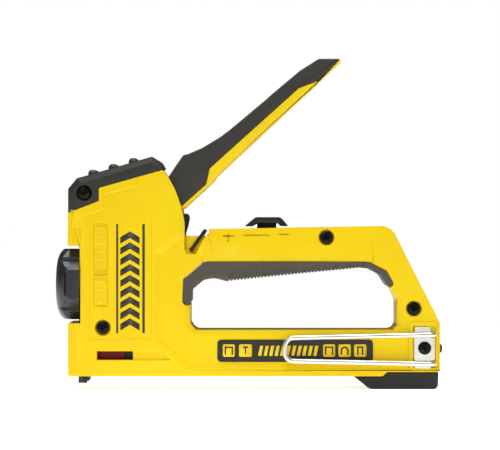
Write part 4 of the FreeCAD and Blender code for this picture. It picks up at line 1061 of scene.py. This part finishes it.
def makePanel(name, side):
    # two rules with a stack of plain chevrons between them, and raised staple shapes beside
    left, right = panelPrint["left"], panelPrint["right"]
    centre = (left + right) / 2
    steps = np.linspace(panelPrint["low"], panelPrint["high"] - panelPrint["rise"],
                        panelPrint["chevrons"], endpoint=False)
    thick = panelPrint["bandHigh"]
    rise = panelPrint["rise"]
    chevrons = [np.array([(left, z), (centre, z + rise), (right, z), (right, z + thick),
                          (centre, z + rise + thick), (left, z + thick)]) for z in steps]
    flat = newPiece(name, layer(panelPrint["rules"] + chevrons, panelPrint["face"] - 0.01,
                                panelPrint["thick"], side))
    put(flat, "housing", "badge_black")
    # the staples lie on their sides, legs towards the nose, and the nail stands on its head
    x = panelPrint["iconX"]
    raised = [staple(0, 0, *panelPrint["stapleSize"], arched)[:, ::-1] + (x, z)
              for z, arched in panelPrint["staples"]]
    raised.append(brad(0, 0, *panelPrint["nailSize"]) * (1, -1) + (x, panelPrint["nailZ"]))
    low = shell["headHalf"] - shell["panelDepth"] - shell["iconDepth"] - 0.05
    icons = newPiece(name + "Icons", layer(raised, low, panelPrint["iconThick"], side))
    put(softEdges(icons, badge["edge"], 1, 35), "housing", "housing_yellow")


makeBadge("leftBadge", -1, "left_label")
makeBadge("rightBadge", 1, "right_label")
makePanel("leftPanelPrint", -1)
makePanel("rightPanelPrint", 1)
print("badges and graphics made")


# finishes on the frame's own pieces that stay

nodeSlots = {
    "steel": ["handle_pin", "lever_pin", "driver_blade", "spring_seat", "lever_link_pin",
              "lift_links", "handle_link_pin", "lock_tabs", "slider_rod"],
    # the track takes the darker steel, painted shade as if it lay in the window's shadow
    "steelPaintedShade": ["staple_track"],
    "soft_black": ["recoil_bumper"],
}
for slotName, names in nodeSlots.items():
    for nodeName in names:
        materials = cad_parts[nodeName].data.materials
        materials.clear()
        materials.append(finishes[slotFinish.get(slotName, slotName)])


# stage, light and camera

stage = {"floor": (0.93, 0.93, 0.93), "glow": 0.78, "size": 0.8, "sky": 0.12, "backdrop": 1.0}


def makeStage():
    floorMesh = bpy.data.meshes.new("floor")
    half = stage["size"]
    floorMesh.from_pydata([(-half, -half, 0), (half, -half, 0), (half, half, 0), (-half, half, 0)],
                          [], [[0, 1, 2, 3]])
    floor = newObject("floor", floorMesh)
    paint = bpy.data.materials.new("floorPaint")
    paint.use_nodes = True
    setInputs(paint.node_tree.nodes["Principled BSDF"], {
        "Base Color": (*stage["floor"], 1), "Roughness": 0.9, "Emission Color": (1, 1, 1, 1),
        "Emission Strength": stage["glow"]})
    floorMesh.materials.append(paint)
    world = bpy.data.worlds.new("studio")
    world.use_nodes = True
    tree = world.node_tree
    sky = tree.nodes["Background"]
    setInputs(sky, {"Color": (1, 1, 1, 1), "Strength": stage["sky"]})
    # the backdrop is seen white, and lights the tool less than it would
    backdrop = tree.nodes.new("ShaderNodeBackground")
    setInputs(backdrop, {"Color": (1, 1, 1, 1), "Strength": stage["backdrop"]})
    ray = tree.nodes.new("ShaderNodeLightPath")
    mix = tree.nodes.new("ShaderNodeMixShader")
    tree.links.new(ray.outputs["Is Camera Ray"], mix.inputs[0])
    tree.links.new(sky.outputs[0], mix.inputs[1])
    tree.links.new(backdrop.outputs[0], mix.inputs[2])
    tree.links.new(mix.outputs[0], tree.nodes["World Output"].inputs["Surface"])
    bpy.context.scene.world = world
    bpy.context.scene.view_settings.view_transform = "Standard"


lights = {
    "keyLight": dict(spot=(-0.5, -0.9, 0.95), aim=(0, 0, 0.08), size=0.5, watts=3.45),
    "fillLight": dict(spot=(0.8, -0.9, 0.35), aim=(0, 0, 0.08), size=0.9, watts=0.9),
    "topLight": dict(spot=(0.0, -0.15, 1.15), aim=(0, 0, 0.08), size=0.6, watts=10.0),
}


def makeLights():
    for name, setting in lights.items():
        lamp = bpy.data.lights.new(name, "AREA")
        lamp.size = setting["size"]
        lamp.energy = setting["watts"]
        thing = newObject(name, lamp)
        thing.location = setting["spot"]
        towards = Vector(setting["aim"]) - Vector(setting["spot"])
        thing.rotation_euler = towards.to_track_quat("-Z", "Y").to_euler()


camera = {"spot": (0.0003, -1.2, 0.0847), "lens": 165.7, "sensor": 36.0}


def makeCamera():
    lens = bpy.data.cameras.new("camera")
    lens.lens = camera["lens"]
    lens.sensor_width = camera["sensor"]
    thing = newObject("camera", lens)
    thing.location = camera["spot"]
    thing.rotation_euler = (math.pi / 2, 0, 0)
    bpy.context.scene.camera = thing


makeStage()
makeLights()
makeCamera()
print("stage, lights and camera set")
